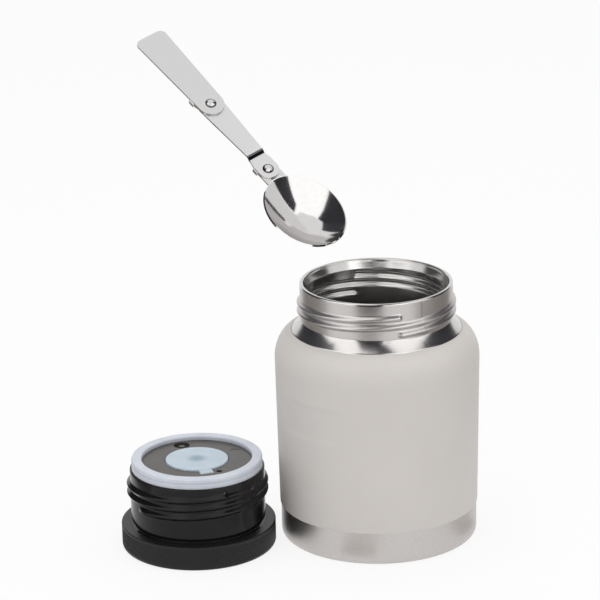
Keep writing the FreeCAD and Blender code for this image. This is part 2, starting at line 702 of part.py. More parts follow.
def spoon_handle():
    """End strap that folds over the link."""
    handle_z = link_levels()[2]
    handle = strap(HANDLE_NECK_R, HANDLE_END_W, HANDLE_LENGTH, -1, HANDLE_CORNER)
    handle.translate(Vector(-LINK_LENGTH, 0, handle_z))
    return handle.cut(rivet_hole(-LINK_LENGTH))


def rivet(x, low, high):
    """Domed rivet through two straps."""
    shank = Part.makeCylinder(RIVET_R, high - low, Vector(x, 0, low))
    ball_r = (RIVET_HEAD_R**2 + RIVET_HEAD_H**2) / (2 * RIVET_HEAD_H)
    ball = Part.makeSphere(ball_r, Vector(x, 0, high + RIVET_HEAD_H - ball_r))
    above = Part.makeBox(2 * CLEAR, 2 * CLEAR, CLEAR, Vector(x - CLEAR, -CLEAR, high))
    tail = Part.makeCone(RIVET_TAIL_END_R, RIVET_TAIL_R, RIVET_TAIL_H, Vector(x, 0, low - RIVET_TAIL_H))
    return shank.fuse(ball.common(above)).fuse(tail).removeSplitter()


def spoon_placement():
    """Turns the spoon from its own frame to its place above the mouth."""
    roll = Rotation(Vector(1, 0, 0), SPOON_ROLL)
    dip = Rotation(Vector(0, 1, 0), -SPOON_DIP)
    lean = Rotation(Vector(0, 0, 1), -SPOON_LEAN)
    stand = Rotation(Vector(1, 0, 0), 90 - SPOON_BACK)
    return Placement(SPOON_AT, stand.multiply(lean).multiply(dip).multiply(roll))


def main():
    shield, getter, bead, disc = jar_inside()
    jar = {
        "outer_shell": outer_shell(),
        "base_cup": base_cup(),
        "base_disc": disc,
        "seal_bead": bead,
        "inner_vessel": inner_vessel(),
        "neck_collar": neck_collar(),
        "copper_shield": shield,
        "getter": getter,
    }
    lid = {
        "grip_ring": grip_ring(),
        "stopper_body": stopper_body(),
        "spoon_tray": spoon_tray(),
        "insulation_foam": insulation_foam(),
        "bottom_plate": bottom_plate(),
        "seal_ring": seal_ring(),
        "relief_valve": relief_valve(),
        "spoon_cover": spoon_cover(),
        "cover_hinge_pin": hinge_rod(HINGE_PIN_R, HINGE_PIN_HALF),
    }
    link_low, link_main, handle_low = link_levels()
    spoon = {
        "spoon_bowl": spoon_bowl(),
        "spoon_link": spoon_link(),
        "spoon_handle": spoon_handle(),
        "bowl_rivet": rivet(0, -SHEET_T, link_low + SHEET_T),
        "handle_rivet": rivet(-LINK_LENGTH, link_main, handle_low + SHEET_T),
    }
    for shape in lid.values():
        shape.translate(LID_AT)
    placement = spoon_placement()
    for shape in spoon.values():
        shape.transformShape(placement.toMatrix())
    for name, shape in {**jar, **lid, **spoon}.items():
        save(name, shape)
        print(name, shape.ShapeType, len(shape.Solids), shape.isValid(), round(shape.Volume, 1))
    print("bowl rivet", SPOON_AT, "fold axis", placement.Rotation.multVec(Vector(0, 0, -1)))
    print("handle rivet", placement.multVec(Vector(-LINK_LENGTH, 0, 0)))


main()
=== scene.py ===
import math

import bpy
import numpy as np
from mathutils import Matrix, Vector


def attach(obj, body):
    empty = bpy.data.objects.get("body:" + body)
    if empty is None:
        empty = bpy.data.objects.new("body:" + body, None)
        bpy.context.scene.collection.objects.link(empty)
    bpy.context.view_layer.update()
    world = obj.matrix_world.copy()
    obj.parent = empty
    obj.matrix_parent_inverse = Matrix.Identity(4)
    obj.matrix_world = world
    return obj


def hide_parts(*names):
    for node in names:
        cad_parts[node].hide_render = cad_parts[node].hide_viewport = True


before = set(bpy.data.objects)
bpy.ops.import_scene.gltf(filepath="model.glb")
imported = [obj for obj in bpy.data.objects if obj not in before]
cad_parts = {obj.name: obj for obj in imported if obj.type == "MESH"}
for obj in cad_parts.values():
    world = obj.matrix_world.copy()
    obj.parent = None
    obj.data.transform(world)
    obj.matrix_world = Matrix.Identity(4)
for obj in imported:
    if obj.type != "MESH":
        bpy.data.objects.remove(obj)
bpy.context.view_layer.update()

MM = 0.001
AXIS_R = 0.001

# Outer body
# A drawn stainless steel shell with a soft shoulder, powder coated in a warm pale stone colour.
# The coat is baked on: matte, with a fine even grain, and it ends in a clean line at neck and base.
BODY_R = 50.0
WALL_TOP = 91.0
COAT_BOTTOM_R = 48.8
BASE_H = 16.4
SHELL_T = 0.8
CROWN_R = 39.5
CROWN_Z = 105.8
COAT_EDGE_R = 41.6
COAT_ROUND = 0.3
PANEL_W = 44.0
PANEL_H = 18.5
PANEL_CORNER = 5.0
PANEL_DEPTH = 0.3
PANEL_SOFT = 2.2
PANEL_Z = 69.5
PANEL_TURN = -136.0
STONE = "#CDC8C4"
STONE_LIGHT = "#D0CBC7"


def linear(code):
    """Turns an sRGB hex colour into Blender's linear colour."""
    channels = [int(code[i:i + 2], 16) / 255 for i in (1, 3, 5)]
    return [c / 12.92 if c <= 0.04045 else ((c + 0.055) / 1.055) ** 2.4 for c in channels] + [1.0]


def add_node(tree, kind, settings=None, links=None):
    """Adds a node with its settings, and links sockets of other nodes into its inputs."""
    node = tree.nodes.new(kind)
    for key, value in (settings or {}).items():
        if isinstance(key, str) and hasattr(node, key):
            setattr(node, key, value)
        else:
            node.inputs[key].default_value = value
    for key, socket in (links or {}).items():
        tree.links.new(socket, node.inputs[key])
    return node


def new_material(name, color, metallic, roughness, **sockets):
    """A material with its main shader set, ready for nodes that vary it."""
    material = bpy.data.materials.new(name)
    material.use_nodes = True
    tree = material.node_tree
    shader = tree.nodes["Principled BSDF"]
    shader.inputs["Base Color"].default_value = linear(color)
    shader.inputs["Metallic"].default_value = metallic
    shader.inputs["Roughness"].default_value = roughness
    for key, value in sockets.items():
        shader.inputs[key.replace("_", " ")].default_value = value
    return material, tree, shader


def noise(tree, vector, scale_per_m, detail=2.0, rough=0.5):
    """A noise pattern with so many cells to the metre."""
    settings = {"Scale": scale_per_m, "Detail": detail, "Roughness": rough}
    return add_node(tree, "ShaderNodeTexNoise", settings, {"Vector": vector}).outputs["Fac"]


def spread(tree, socket, low, high, out_low, out_high):
    """Maps a pattern's range to an output range."""
    settings = {"From Min": low, "From Max": high, "To Min": out_low, "To Max": out_high}
    return add_node(tree, "ShaderNodeMapRange", settings, {"Value": socket}).outputs["Result"]


def calculated(tree, kind, operation, values, output):
    """A node that works a value out of others, each a number, a vector or a node's socket."""
    links = {k: value for k, value in enumerate(values) if isinstance(value, bpy.types.NodeSocket)}
    settings = {k: value for k, value in enumerate(values) if k not in links}
    return add_node(tree, kind, {"operation": operation, **settings}, links).outputs[output]


def maths(tree, operation, *values):
    """One step of arithmetic on numbers."""
    return calculated(tree, "ShaderNodeMath", operation, values, "Value")


def vector_maths(tree, operation, *values, output="Vector"):
    """One step of arithmetic on vectors."""
    return calculated(tree, "ShaderNodeVectorMath", operation, values, output)


def two_tone(tree, socket, first, second):
    """A colour between two, each a hex code or a node's colour, by a pattern from 0 to 1."""
    mix = add_node(tree, "ShaderNodeMix", {"data_type": "RGBA"}, {0: socket})
    for color, stop in ((first, mix.inputs[6]), (second, mix.inputs[7])):
        if isinstance(color, str):
            stop.default_value = linear(color)
        else:
            tree.links.new(color, stop)
    return mix.outputs[2]


def clouded(tree, shader, pattern, first, second, low=0.3, high=0.7):
    """Colours the shader between two hex colours, over a noise pattern's usual range."""
    color = two_tone(tree, spread(tree, pattern, low, high, 0.0, 1.0), first, second)
    tree.links.new(color, shader.inputs["Base Color"])
    return color


def bump(tree, shader, height, depth_mm, strength=1.0):
    """Surface relief of so many millimetres from a pattern from 0 to 1."""
    settings = {"Strength": strength, "Distance": depth_mm * MM}
    relief = add_node(tree, "ShaderNodeBump", settings, {"Height": height})
    tree.links.new(relief.outputs["Normal"], shader.inputs["Normal"])


def object_place(tree):
    """The place on the object, in metres."""
    return add_node(tree, "ShaderNodeTexCoord").outputs["Object"]


def rounded(points, steps=4):
    """A section's outline: each point is (r, z) or (r, z, radius of the corner there)."""
    outline = []
    count = len(points)
    for i, point in enumerate(points):
        here = Vector(point[:2])
        if len(point) == 2 or point[2] == 0:
            outline.append(here)
            continue
        before = (Vector(points[i - 1][:2]) - here)
        after = (Vector(points[(i + 1) % count][:2]) - here)
        half = before.angle(after) / 2
        reach = min(point[2] / math.tan(half), before.length * 0.49, after.length * 0.49)
        start = here + before.normalized() * reach
        end = here + after.normalized() * reach
        for k in range(steps + 1):
            t = k / steps
            outline.append(start * (1 - t) ** 2 + here * 2 * t * (1 - t) + end * t * t)
    return outline


def divided(outline, step, low=-1e9, high=1e9, inside=0.0):
    """Adds points so that no stretch between two heights, outside a radius, is longer than the step."""
    dense = []
    for a, b in zip(outline, outline[1:] + outline[:1]):
        dense.append(a)
        middle = (a + b) / 2
        if not (low <= middle.y <= high and middle.x >= inside):
            continue
        cuts = int((b - a).length / step)
        dense += [a + (b - a) * k / (cuts + 1) for k in range(1, cuts + 1)]
    return dense


def deselect():
    """Leaves nothing selected, so that the next operator works on its own object."""
    bpy.ops.object.select_all(action="DESELECT")


def finish_mesh(piece, merge_mm=0.002, angle=40.0):
    """Closes seams and poles, points the faces outwards and shades the piece smooth."""
    deselect()
    bpy.context.view_layer.objects.active = piece
    piece.select_set(True)
    bpy.ops.object.mode_set(mode="EDIT")
    bpy.ops.mesh.select_all(action="SELECT")
    bpy.ops.mesh.remove_doubles(threshold=merge_mm * MM)
    bpy.ops.mesh.normals_make_consistent(inside=False)
    bpy.ops.object.mode_set(mode="OBJECT")
    bpy.ops.object.shade_smooth_by_angle(angle=math.radians(angle))
    piece.select_set(False)
    return piece


def turned(name, outline, around, shape=None, centre=(0, 0), angle=40.0):
    """A sheet rolled into a closed ring on the outline; shape(r, z, angle) may move its points."""
    deselect()
    count = len(outline)
    bpy.ops.mesh.primitive_grid_add(x_subdivisions=around, y_subdivisions=count, size=1)
    piece = bpy.context.object
    piece.name = name
    flat = np.zeros(len(piece.data.vertices) * 3)
    piece.data.vertices.foreach_get("co", flat)
    flat = flat.reshape(-1, 3)
    column = np.rint((flat[:, 0] + 0.5) * around).astype(int) % around
    row = np.rint((flat[:, 1] + 0.5) * count).astype(int) % count
    section = np.array([[p.x, p.y] for p in outline])
    r = section[row, 0]
    z = section[row, 1]
    theta = column * 2 * math.pi / around
    if shape:
        r, z = shape(r, z, theta)
    placed = np.stack([r * np.cos(theta) + centre[0], r * np.sin(theta) + centre[1], z], 1) * MM
    piece.data.vertices.foreach_set("co", placed.reshape(-1))
    piece.data.update()
    return finish_mesh(piece, angle=angle)


def dressed(piece, material, slot, body, *nodes):
    """Gives a finished piece its material and body, and hides the CAD nodes it stands for; slot is not used.
    """
    piece.data.materials.clear()
    piece.data.materials.append(material)
    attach(piece, body)
    if nodes:
        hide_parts(*nodes)
    return piece


def smooth_step(x):
    """Rises smoothly from 0 to 1 while x goes from 0 to 1."""
    x = np.clip(x, 0, 1)
    return x * x * (3 - 2 * x)


def press_panel(r, z, theta):
    """Presses the bare, soft-edged panel into the front left of the wall."""
    across = (theta - math.radians(PANEL_TURN) + math.pi) % (2 * math.pi) - math.pi
    x = np.abs(across * BODY_R) - (PANEL_W / 2 - PANEL_CORNER)
    y = np.abs(z - PANEL_Z) - (PANEL_H / 2 - PANEL_CORNER)
    outside = np.hypot(np.maximum(x, 0), np.maximum(y, 0)) + np.minimum(np.maximum(x, y), 0)
    depth = smooth_step((PANEL_CORNER - outside) / PANEL_SOFT)
    on_wall = r > BODY_R - 2 * SHELL_T
    outer = r > COAT_BOTTOM_R - 0.01 + (z - BASE_H) * (BODY_R - COAT_BOTTOM_R) / (WALL_TOP - BASE_H) - 0.1
    return r - PANEL_DEPTH * depth * (on_wall & outer), z


def shoulder(wall_r, crown_z, steps):
    """Points down the elliptic shoulder, from the neck's flare to the wall."""
    end = math.acos((COAT_EDGE_R - CROWN_R) / (wall_r - CROWN_R))
    turns = [end * (1 - k / steps) for k in range(steps + 1)]
    wide = wall_r - CROWN_R
    tall = crown_z - WALL_TOP
    return [(CROWN_R + wide * math.cos(t), WALL_TOP + tall * math.sin(t)) for t in turns]


outer_curve = shoulder(BODY_R, CROWN_Z, 30)
inner_curve = shoulder(BODY_R - SHELL_T, CROWN_Z - SHELL_T, 8)
COAT_EDGE_Z = outer_curve[0][1]
EDGE_UNDER_Z = inner_curve[0][1]
shell_points = [(COAT_BOTTOM_R, BASE_H, COAT_ROUND)] + outer_curve[:0:-1]
shell_points += [(COAT_EDGE_R, COAT_EDGE_Z, COAT_ROUND)] + inner_curve
shell_points += [(COAT_BOTTOM_R - SHELL_T, BASE_H)]
shell_outline = divided(rounded(shell_points), 0.9, low=BASE_H, inside=COAT_BOTTOM_R - 0.02)
shell = turned("coated_shell", shell_outline, 480, press_panel)

# Baked powder coat: dielectric, fully matte to the eye, with a grain of about a third of a millimetre
# that only shows as softness, and very slight clouding of the tone.
GRAIN_MM = 0.35
CLOUD_MM = 30.0
coat, tree, shader = new_material("baked_powder_coat", STONE, 0.0, 0.52)
place = object_place(tree)
clouds = noise(tree, place, 1000 / CLOUD_MM, 3.0)
clouded(tree, shader, clouds, STONE, STONE_LIGHT)
grain = noise(tree, place, 1000 / GRAIN_MM, 2.0)
tree.links.new(spread(tree, grain, 0.2, 0.8, 0.46, 0.6), shader.inputs["Roughness"])
bump(tree, shader, grain, 0.03, 0.35)
dressed(shell, coat, "stone_coat", "jar", "outer_shell")

# Base
# A pressed stainless steel cup that closes the jar's bottom, bare and brushed round the axis. It is
# set back half a millimetre from the coat, and a small steel disc covers the evacuation point.
BASE_R = 48.3
FOOT_FILLET = 3.0
FOOT_W = 2.6
BASE_RECESS = 1.6
LAP_CLEAR = 0.05
LAP_H = 6.0
PIT_R = 5.0
PIT_TOP_R = 3.4
PIT_TOP = 3.2
HOLE_R = 1.0
BRUSH_MM = 0.16
STREAK_TURN = 0.004
POLISH_EDGE = 0.3
SHINE = 0.6
WELD_HALF = 0.004


def brushed(name, color, dark, roughness, brush_mm=BRUSH_MM, depth_mm=0.002, polished_below=None, weld=None):
    """Steel brushed round an axis: fine streaks that run round and change with height and radius.

    It is shinier below the height polished_below, and in a thin upright line at the angle weld.
    """
    material, tree, shader = new_material(name, color, 1.0, roughness)
    parts = add_node(tree, "ShaderNodeSeparateXYZ", None, {"Vector": object_place(tree)}).outputs
    flat = add_node(tree, "ShaderNodeCombineXYZ", None, {"X": parts["X"], "Y": parts["Y"]}).outputs["Vector"]
    turn = maths(tree, "ARCTAN2", parts["Y"], parts["X"])
    streak = {
        "X": vector_maths(tree, "LENGTH", flat, output="Value"),
        "Y": maths(tree, "MULTIPLY", turn, STREAK_TURN),
        "Z": parts["Z"],
    }
    streak_place = add_node(tree, "ShaderNodeCombineXYZ", None, streak).outputs["Vector"]
    fine = noise(tree, streak_place, 1000 / brush_mm, 3.0, 0.6)
    clouded(tree, shader, fine, dark, color, 0.25, 0.75)
    rough = spread(tree, fine, 0.3, 0.7, roughness - 0.03, roughness + 0.03)
    if polished_below is not None:
        satin_above = polished_below * MM
        satin_part = spread(tree, parts["Z"], satin_above - POLISH_EDGE * MM, satin_above, SHINE, 1.0)
        rough = maths(tree, "MULTIPLY", rough, satin_part)
    if weld is not None:
        from_weld = maths(tree, "ABSOLUTE", maths(tree, "SUBTRACT", turn, math.radians(weld)))
        beside_weld = spread(tree, from_weld, WELD_HALF, 3 * WELD_HALF, SHINE, 1.0)
        rough = maths(tree, "MULTIPLY", rough, beside_weld)
    tree.links.new(rough, shader.inputs["Roughness"])
    bump(tree, shader, fine, depth_mm, 0.3)
    return material


lap_r = COAT_BOTTOM_R - SHELL_T - LAP_CLEAR
foot_r = BASE_R - FOOT_FILLET
recess_r = foot_r - FOOT_W
base_points = [
    (lap_r, BASE_H + LAP_H),
    (lap_r, BASE_H),
    (BASE_R, BASE_H, 0.25),
    (BASE_R, 0, FOOT_FILLET),
    (recess_r, 0, 0.4),
    (recess_r - BASE_RECESS, BASE_RECESS, 0.5),
    (PIT_R, BASE_RECESS, 0.3),
    (PIT_TOP_R, PIT_TOP),
    (HOLE_R, PIT_TOP),
    (HOLE_R, PIT_TOP + SHELL_T),
    (PIT_TOP_R + SHELL_T, PIT_TOP + SHELL_T),
    (PIT_R + SHELL_T, BASE_RECESS + SHELL_T),
    (recess_r - BASE_RECESS, BASE_RECESS + SHELL_T),
    (recess_r, SHELL_T),
    (foot_r, SHELL_T),
    (BASE_R - SHELL_T, FOOT_FILLET),
    (BASE_R - SHELL_T, BASE_H - SHELL_T),
    (lap_r - SHELL_T, BASE_H),
    (lap_r - SHELL_T, BASE_H + LAP_H),
]
base = turned("steel_base", rounded(base_points, 8), 256)
base_steel = brushed("brushed_stainless_steel", "#D3CFCD", "#BDB8B5", 0.4)
dressed(base, base_steel, "brushed_steel", "jar", "base_cup")

# Neck
# A sleeve of welded steel tube with the two-start thread rolled into it, satin brushed above and
# polished on the flared foot that meets the coat. The weld shows as a faint upright line.
NECK_R = 37.2
NECK_SHEET = 0.65
RIM_Z = 129.1
LIP_H = 1.2
LIP_W = 1.9
NECK_STEP_Z = 111.0
NECK_STEP = 0.12
FLARE_BEND = 1.25
FLARE_UNDER = 0.5
LAND_R = 34.0
LEAD_IN_H = 4.6
THREAD_LEAD = 8.6
THREAD_TOP = 121.8
THREAD_TURN = 364.0
THREAD_START = -72.0
RIDGE_H = 1.55
RIDGE_HALF = 2.0
GROOVE_DEPTH = 1.45
GROOVE_HALF = 2.1
END_FADE = 3.0
WELD_ANGLE = -56.0


def thread_height(z, theta, top, start_deg, turn_deg, half, fade_deg=END_FADE):
    """0 to 1 across the ridges of a two-start right-hand thread that runs down from its top."""
    height = np.zeros_like(z)
    degrees = np.degrees(theta)
    for start in (0, 180):
        first = (start_deg + start - degrees) % 360
        for laps in (0, 360):
            gone = first + laps
            middle = top - THREAD_LEAD * gone / 360
            across = np.abs(z - middle) / half
            ridge = np.where(across < 1, 0.5 + 0.5 * np.cos(np.pi * np.clip(across, 0, 1)), 0)
            ends = smooth_step(gone / fade_deg) * smooth_step((turn_deg - gone) / fade_deg)
            height = np.maximum(height, ridge * ends * (gone <= turn_deg))
    return height


def neck_ridges(r, z, theta):
    """Raises the thread on the outside of the sleeve."""
    raised = thread_height(z, theta, THREAD_TOP, THREAD_START, THREAD_TURN, RIDGE_HALF)
    outer = r > NECK_R - NECK_SHEET / 2
    return r + RIDGE_H * raised * outer, z


seam_z = RIM_Z - LIP_H
neck_inner = NECK_R - NECK_SHEET
flare_r = COAT_EDGE_R - 0.05
step_r = NECK_R - NECK_STEP
step_z = NECK_STEP_Z - NECK_STEP
flare_curve = [
    (step_r + (flare_r - step_r) * t ** FLARE_BEND, step_z + (COAT_EDGE_Z - step_z) * t)
    for t in [k / 14 for k in range(15)]
]
under_z = step_z - FLARE_UNDER
under_curve = [
    (neck_inner + (flare_r - neck_inner) * t ** FLARE_BEND, under_z + (EDGE_UNDER_Z - under_z) * t)
    for t in [1 - k / 8 for k in range(9)]
]
collar_points = [(neck_inner, seam_z), (NECK_R, seam_z), (NECK_R, NECK_STEP_Z)] + flare_curve + under_curve
collar_outline = divided(rounded(collar_points), 0.28, low=NECK_STEP_Z, inside=NECK_R - 0.01)
collar = turned("neck_sleeve", collar_outline, 540, neck_ridges, angle=60.0)
neck_steel = brushed(
    "satin_stainless_steel", "#D2CFCD", "#C3C0BE", 0.33,
    brush_mm=0.2, depth_mm=0.001, polished_below=NECK_STEP_Z, weld=WELD_ANGLE,
)
dressed(collar, neck_steel, "brushed_steel", "jar", "neck_collar")

# Liner
# One drawn steel vessel that holds the food, with the thread's grooves inside its neck and the
# rounded drinking lip welded over the sleeve. It is electropolished, bright with soft streaks.
LINER_T = 0.6
LINER_BOTTOM = 9.4
LINER_CORNER = 10.6
SHOULDER_LOW = 90.0
SEAT_R = 31.4
SEAT_TOP = 103.0
SEAT_BOTTOM = 98.2
SEAT_H = 1.0
VACUUM_GAP = 5.2
LIP_CURL = 0.15
LIP_CURL_H = 0.6


def neck_grooves(r, z, theta):
    """Sinks the thread's grooves into the inside of the neck."""
    sunk = thread_height(z, theta, THREAD_TOP, THREAD_START, THREAD_TURN, GROOVE_HALF)
    inner = (r < LAND_R + 0.6) & (z > SEAT_TOP)
    return r + GROOVE_DEPTH * sunk * inner, z


liner_r = BODY_R - SHELL_T - VACUUM_GAP
outer_neck = neck_inner - LAP_CLEAR
lip_mid = NECK_R - LIP_W / 2
lip_top = RIM_Z - LIP_W / 2
lip_curve = [
    (lip_mid + LIP_W / 2 * math.cos(math.radians(t)), lip_top + LIP_W / 2 * math.sin(math.radians(t)))
    for t in range(0, 181, 15)
]
liner_points = [
    (AXIS_R, LINER_BOTTOM),
    (liner_r, LINER_BOTTOM, LINER_CORNER),
    (liner_r, SHOULDER_LOW, 3.0),
    (SEAT_R + LINER_T, SEAT_BOTTOM),
    (LAND_R + LINER_T, SEAT_TOP - LINER_T),
    (outer_neck, SEAT_TOP - LINER_T),
    (outer_neck, seam_z),
    (NECK_R, seam_z),
] + lip_curve + [
    (NECK_R - LIP_W - LIP_CURL, lip_top - LIP_CURL_H),
    (LAND_R, RIM_Z - LEAD_IN_H, 1.5),
    (LAND_R, SEAT_TOP, 1.0),
    (SEAT_R, SEAT_BOTTOM, 0.8),
    (SEAT_R, SEAT_BOTTOM - SEAT_H, 0.5),
    (liner_r - LINER_T, SHOULDER_LOW - SEAT_H, 3.0),
    (liner_r - LINER_T, LINER_BOTTOM + LINER_T, LINER_CORNER - LINER_T),
    (AXIS_R, LINER_BOTTOM + LINER_T),
]
liner_outline = divided(rounded(liner_points, 8), 0.3, low=SEAT_TOP, high=RIM_Z - LIP_H)
liner = turned("food_liner", liner_outline, 480, neck_grooves, angle=60.0)
liner_steel = brushed("electropolished_steel", "#D3D1CF", "#C6C4C2", 0.2, brush_mm=0.25, depth_mm=0.001)
dressed(liner, liner_steel, "polished_steel", "jar", "inner_vessel")

# Pieces the double wall hides
# Copper foil that reflects heat, the getter pill, the braze bead over the evacuation hole, and the
# steel disc that covers it from below.


def speckled(name, color, second, metallic, roughness, cell_mm, depth_mm):
    """A surface with fine grain in its tone and relief, such as foil, sintered metal or foam."""
    material, tree, shader = new_material(name, color, metallic, roughness)
    cells = noise(tree, object_place(tree), 1000 / cell_mm, 3.0)
    clouded(tree, shader, cells, color, second)
    bump(tree, shader, cells, depth_mm, 0.5)
    return material


def repaint(node, material):
    """Gives a CAD piece its finished material."""
    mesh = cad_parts[node].data
    mesh.materials.clear()
    mesh.materials.append(material)


repaint("copper_shield", speckled("copper_foil", "#C8825A", "#B06C48", 1.0, 0.3, 6.0, 0.2))
repaint("getter", speckled("sintered_metal", "#57524E", "#3E3A37", 0.6, 0.7, 0.3, 0.05))
repaint("seal_bead", speckled("melted_braze", "#A08A58", "#7F6C44", 0.9, 0.4, 1.0, 0.1))
repaint("base_disc", base_steel)

# Stopper
# A glossy black injection moulded plug with a two-start thread, a vent hole in its side, and an
# undercut above the grip ring where the jar's lip sits.
LID_X = -89.1
LID_Y = -13.5
LID = (LID_X, LID_Y)
RING_H = 12.3
HEAD_R = 33.3
HEAD_LOW = 2.6
UNDERCUT_R = 31.6
UNDERCUT_H = 1.9
PLUG_R = 33.0
PLUG_TOP = 40.0
PLUG_BORE_R = 30.6
PLUG_CREST = 34.7
PLUG_THREAD_HALF = 2.05
PLUG_THREAD_TOP = 36.2
PLUG_THREAD_TURN = 480.0
PLUG_THREAD_START = 150.0
PLUG_END_FADE = 12.0
PLUG_ROOF = 2.0
VENT_R = 1.2
VENT_Z = 36.6
VENT_ANGLE = -64.0
VENT_DEPTH = 12.0


def plug_ridges(r, z, theta):
    """Raises the thread on the outside of the plug."""
    thread = (PLUG_THREAD_TOP, PLUG_THREAD_START, PLUG_THREAD_TURN, PLUG_THREAD_HALF, PLUG_END_FADE)
    raised = thread_height(z, theta, *thread)
    outer = (r > PLUG_R - 0.1) & (z > RING_H + 1)
    return r + (PLUG_CREST - PLUG_R) * raised * outer, z


plug_points = [
    (HEAD_R, HEAD_LOW),
    (HEAD_R, RING_H),
    (UNDERCUT_R, RING_H, 0.3),
    (UNDERCUT_R, RING_H + UNDERCUT_H, 0.3),
    (PLUG_R, RING_H + UNDERCUT_H, 0.5),
    (PLUG_R, PLUG_TOP, 0.6),
    (AXIS_R, PLUG_TOP),
    (AXIS_R, PLUG_TOP - PLUG_ROOF),
    (PLUG_BORE_R, PLUG_TOP - PLUG_ROOF),
    (PLUG_BORE_R, HEAD_LOW),
]
thread_low = RING_H + UNDERCUT_H + 1
plug_outline = divided(rounded(plug_points), 0.3, low=thread_low, high=PLUG_TOP - 1, inside=PLUG_R - 0.1)
plug = turned("threaded_plug", plug_outline, 480, plug_ridges, LID, angle=60.0)


def bored(piece, radius_mm, depth_mm, place, direction):
    """Drills a round hole into a piece."""
    deselect()
    turn = Vector(direction).to_track_quat("Z", "Y").to_euler()
    bpy.ops.mesh.primitive_cylinder_add(
        vertices=48, radius=radius_mm * MM, depth=depth_mm * MM, location=Vector(place) * MM, rotation=turn
    )
    drill = bpy.context.object
    deselect()
    bpy.context.view_layer.objects.active = piece
    cut = piece.modifiers.new("drilled", "BOOLEAN")
    cut.object = drill
    cut.operation = "DIFFERENCE"
    cut.solver = "EXACT"
    bpy.ops.object.modifier_apply(modifier=cut.name)
    bpy.data.objects.remove(drill)
    return piece


vent_way = Vector((math.cos(math.radians(VENT_ANGLE)), math.sin(math.radians(VENT_ANGLE)), 0))
vent_place = Vector((LID_X, LID_Y, VENT_Z)) + vent_way * PLUG_R
bored(plug, VENT_R, VENT_DEPTH, vent_place, vent_way)


def moulded(name, color, second, roughness, texture_mm, depth_mm, **sockets):
    """Injection moulded plastic: even colour with slight clouding, and the mould's fine texture."""
    material, tree, shader = new_material(name, color, 0.0, roughness, **sockets)
    place = object_place(tree)
    clouds = noise(tree, place, 1000 / 18.0, 2.0)
    clouded(tree, shader, clouds, color, second)
    texture = noise(tree, place, 1000 / texture_mm, 2.0)
    rough = spread(tree, texture, 0.3, 0.7, roughness * 0.85, roughness * 1.15)
    tree.links.new(rough, shader.inputs["Roughness"])
    bump(tree, shader, texture, depth_mm, 0.4)
    return material


plug_plastic = moulded(
    "glossy_black_polypropylene", "#131213", "#181617", 0.16, 1.2, 0.006, Specular_IOR_Level=0.22
)
dressed(plug, plug_plastic, "black_plastic", "stopper", "stopper_body")
# The photograph's steel base shows nothing of the plug beside it.
plug.visible_glossy = False

# Grip ring
# The moulded ring that the hand turns, with slanting ridges all round between two plain edges. Its
# satin surface is a shade lighter than the plug, and it is notched at the back for the hinge.
RING_R = 37.9
RING_FILLET = 2.5
KNURL_COUNT = 118
KNURL_DEPTH = 0.5
KNURL_SLANT = 0.62
KNURL_LOW = 1.6
KNURL_HIGH = 11.5
POINTS_PER_RIDGE = 8
NOTCH_HALF = 3.15
NOTCH_TOP = 7.6
NOTCH_DEPTH = 12.0
CLEAR = 0.1
hinge_y = LID_Y + RING_R - RING_FILLET


def knurl(r, z, theta):
    """Slanting rounded ridges on the outside of the ring."""
    wave = np.cos(KNURL_COUNT * (theta + KNURL_SLANT * (z - KNURL_LOW) / RING_R))
    fade = smooth_step((z - KNURL_LOW) / 1.2) * smooth_step((KNURL_HIGH - z) / 0.7)
    outer = r > RING_R - RING_FILLET + 0.4
    return r - KNURL_DEPTH * (0.5 - 0.5 * wave) * fade * outer, z


ring_points = [
    (HEAD_R + CLEAR, 0, 0.2),
    (RING_R, 0, RING_FILLET),
    (RING_R, RING_H, 0.6),
    (HEAD_R + CLEAR, RING_H),
]
ring_outline = divided(rounded(ring_points, 10), 0.5, low=0.5, high=RING_H - 0.4, inside=RING_R - 2.0)
ring = turned("grip_ring_knurled", ring_outline, KNURL_COUNT * POINTS_PER_RIDGE, knurl, LID, angle=50.0)
deselect()
bpy.ops.mesh.primitive_cube_add(size=1, location=(LID_X * MM, hinge_y * MM, (NOTCH_TOP - 1) / 2 * MM))
notch = bpy.context.object
notch.scale = (2 * NOTCH_HALF * MM, NOTCH_DEPTH * MM, (NOTCH_TOP + 1) * MM)
deselect()
bpy.context.view_layer.objects.active = ring
cut = ring.modifiers.new("hinge notch", "BOOLEAN")
cut.object = notch
cut.solver = "EXACT"
bpy.ops.object.modifier_apply(modifier=cut.name)
bpy.data.objects.remove(notch)
ring_plastic = moulded("satin_black_plastic", "#151415", "#1A191A", 0.36, 0.5, 0.012, Specular_IOR_Level=0.28)
dressed(ring, ring_plastic, "grip_plastic", "stopper", "grip_ring")

# Plate on the food side
# A satin grey moulded plate snapped over the plug's end, with a well for the valve's disc, a round
# assembly hole with a boss, a small pin hole and a faint ejector mark.
plate_plastic = moulded("satin_grey_plastic", "#423E3C", "#4A4643", 0.24, 0.8, 0.006, Specular_IOR_Level=0.3)
repaint("bottom_plate", plate_plastic)
tray_plastic = moulded("textured_dark_plastic", "#2E2E30", "#363638", 0.5, 0.4, 0.02)
repaint("spoon_tray", tray_plastic)
repaint("spoon_cover", ring_plastic)
repaint("insulation_foam", speckled("expanded_foam", "#E8E2CC", "#DAD2B6", 0.0, 0.9, 1.5, 0.3))

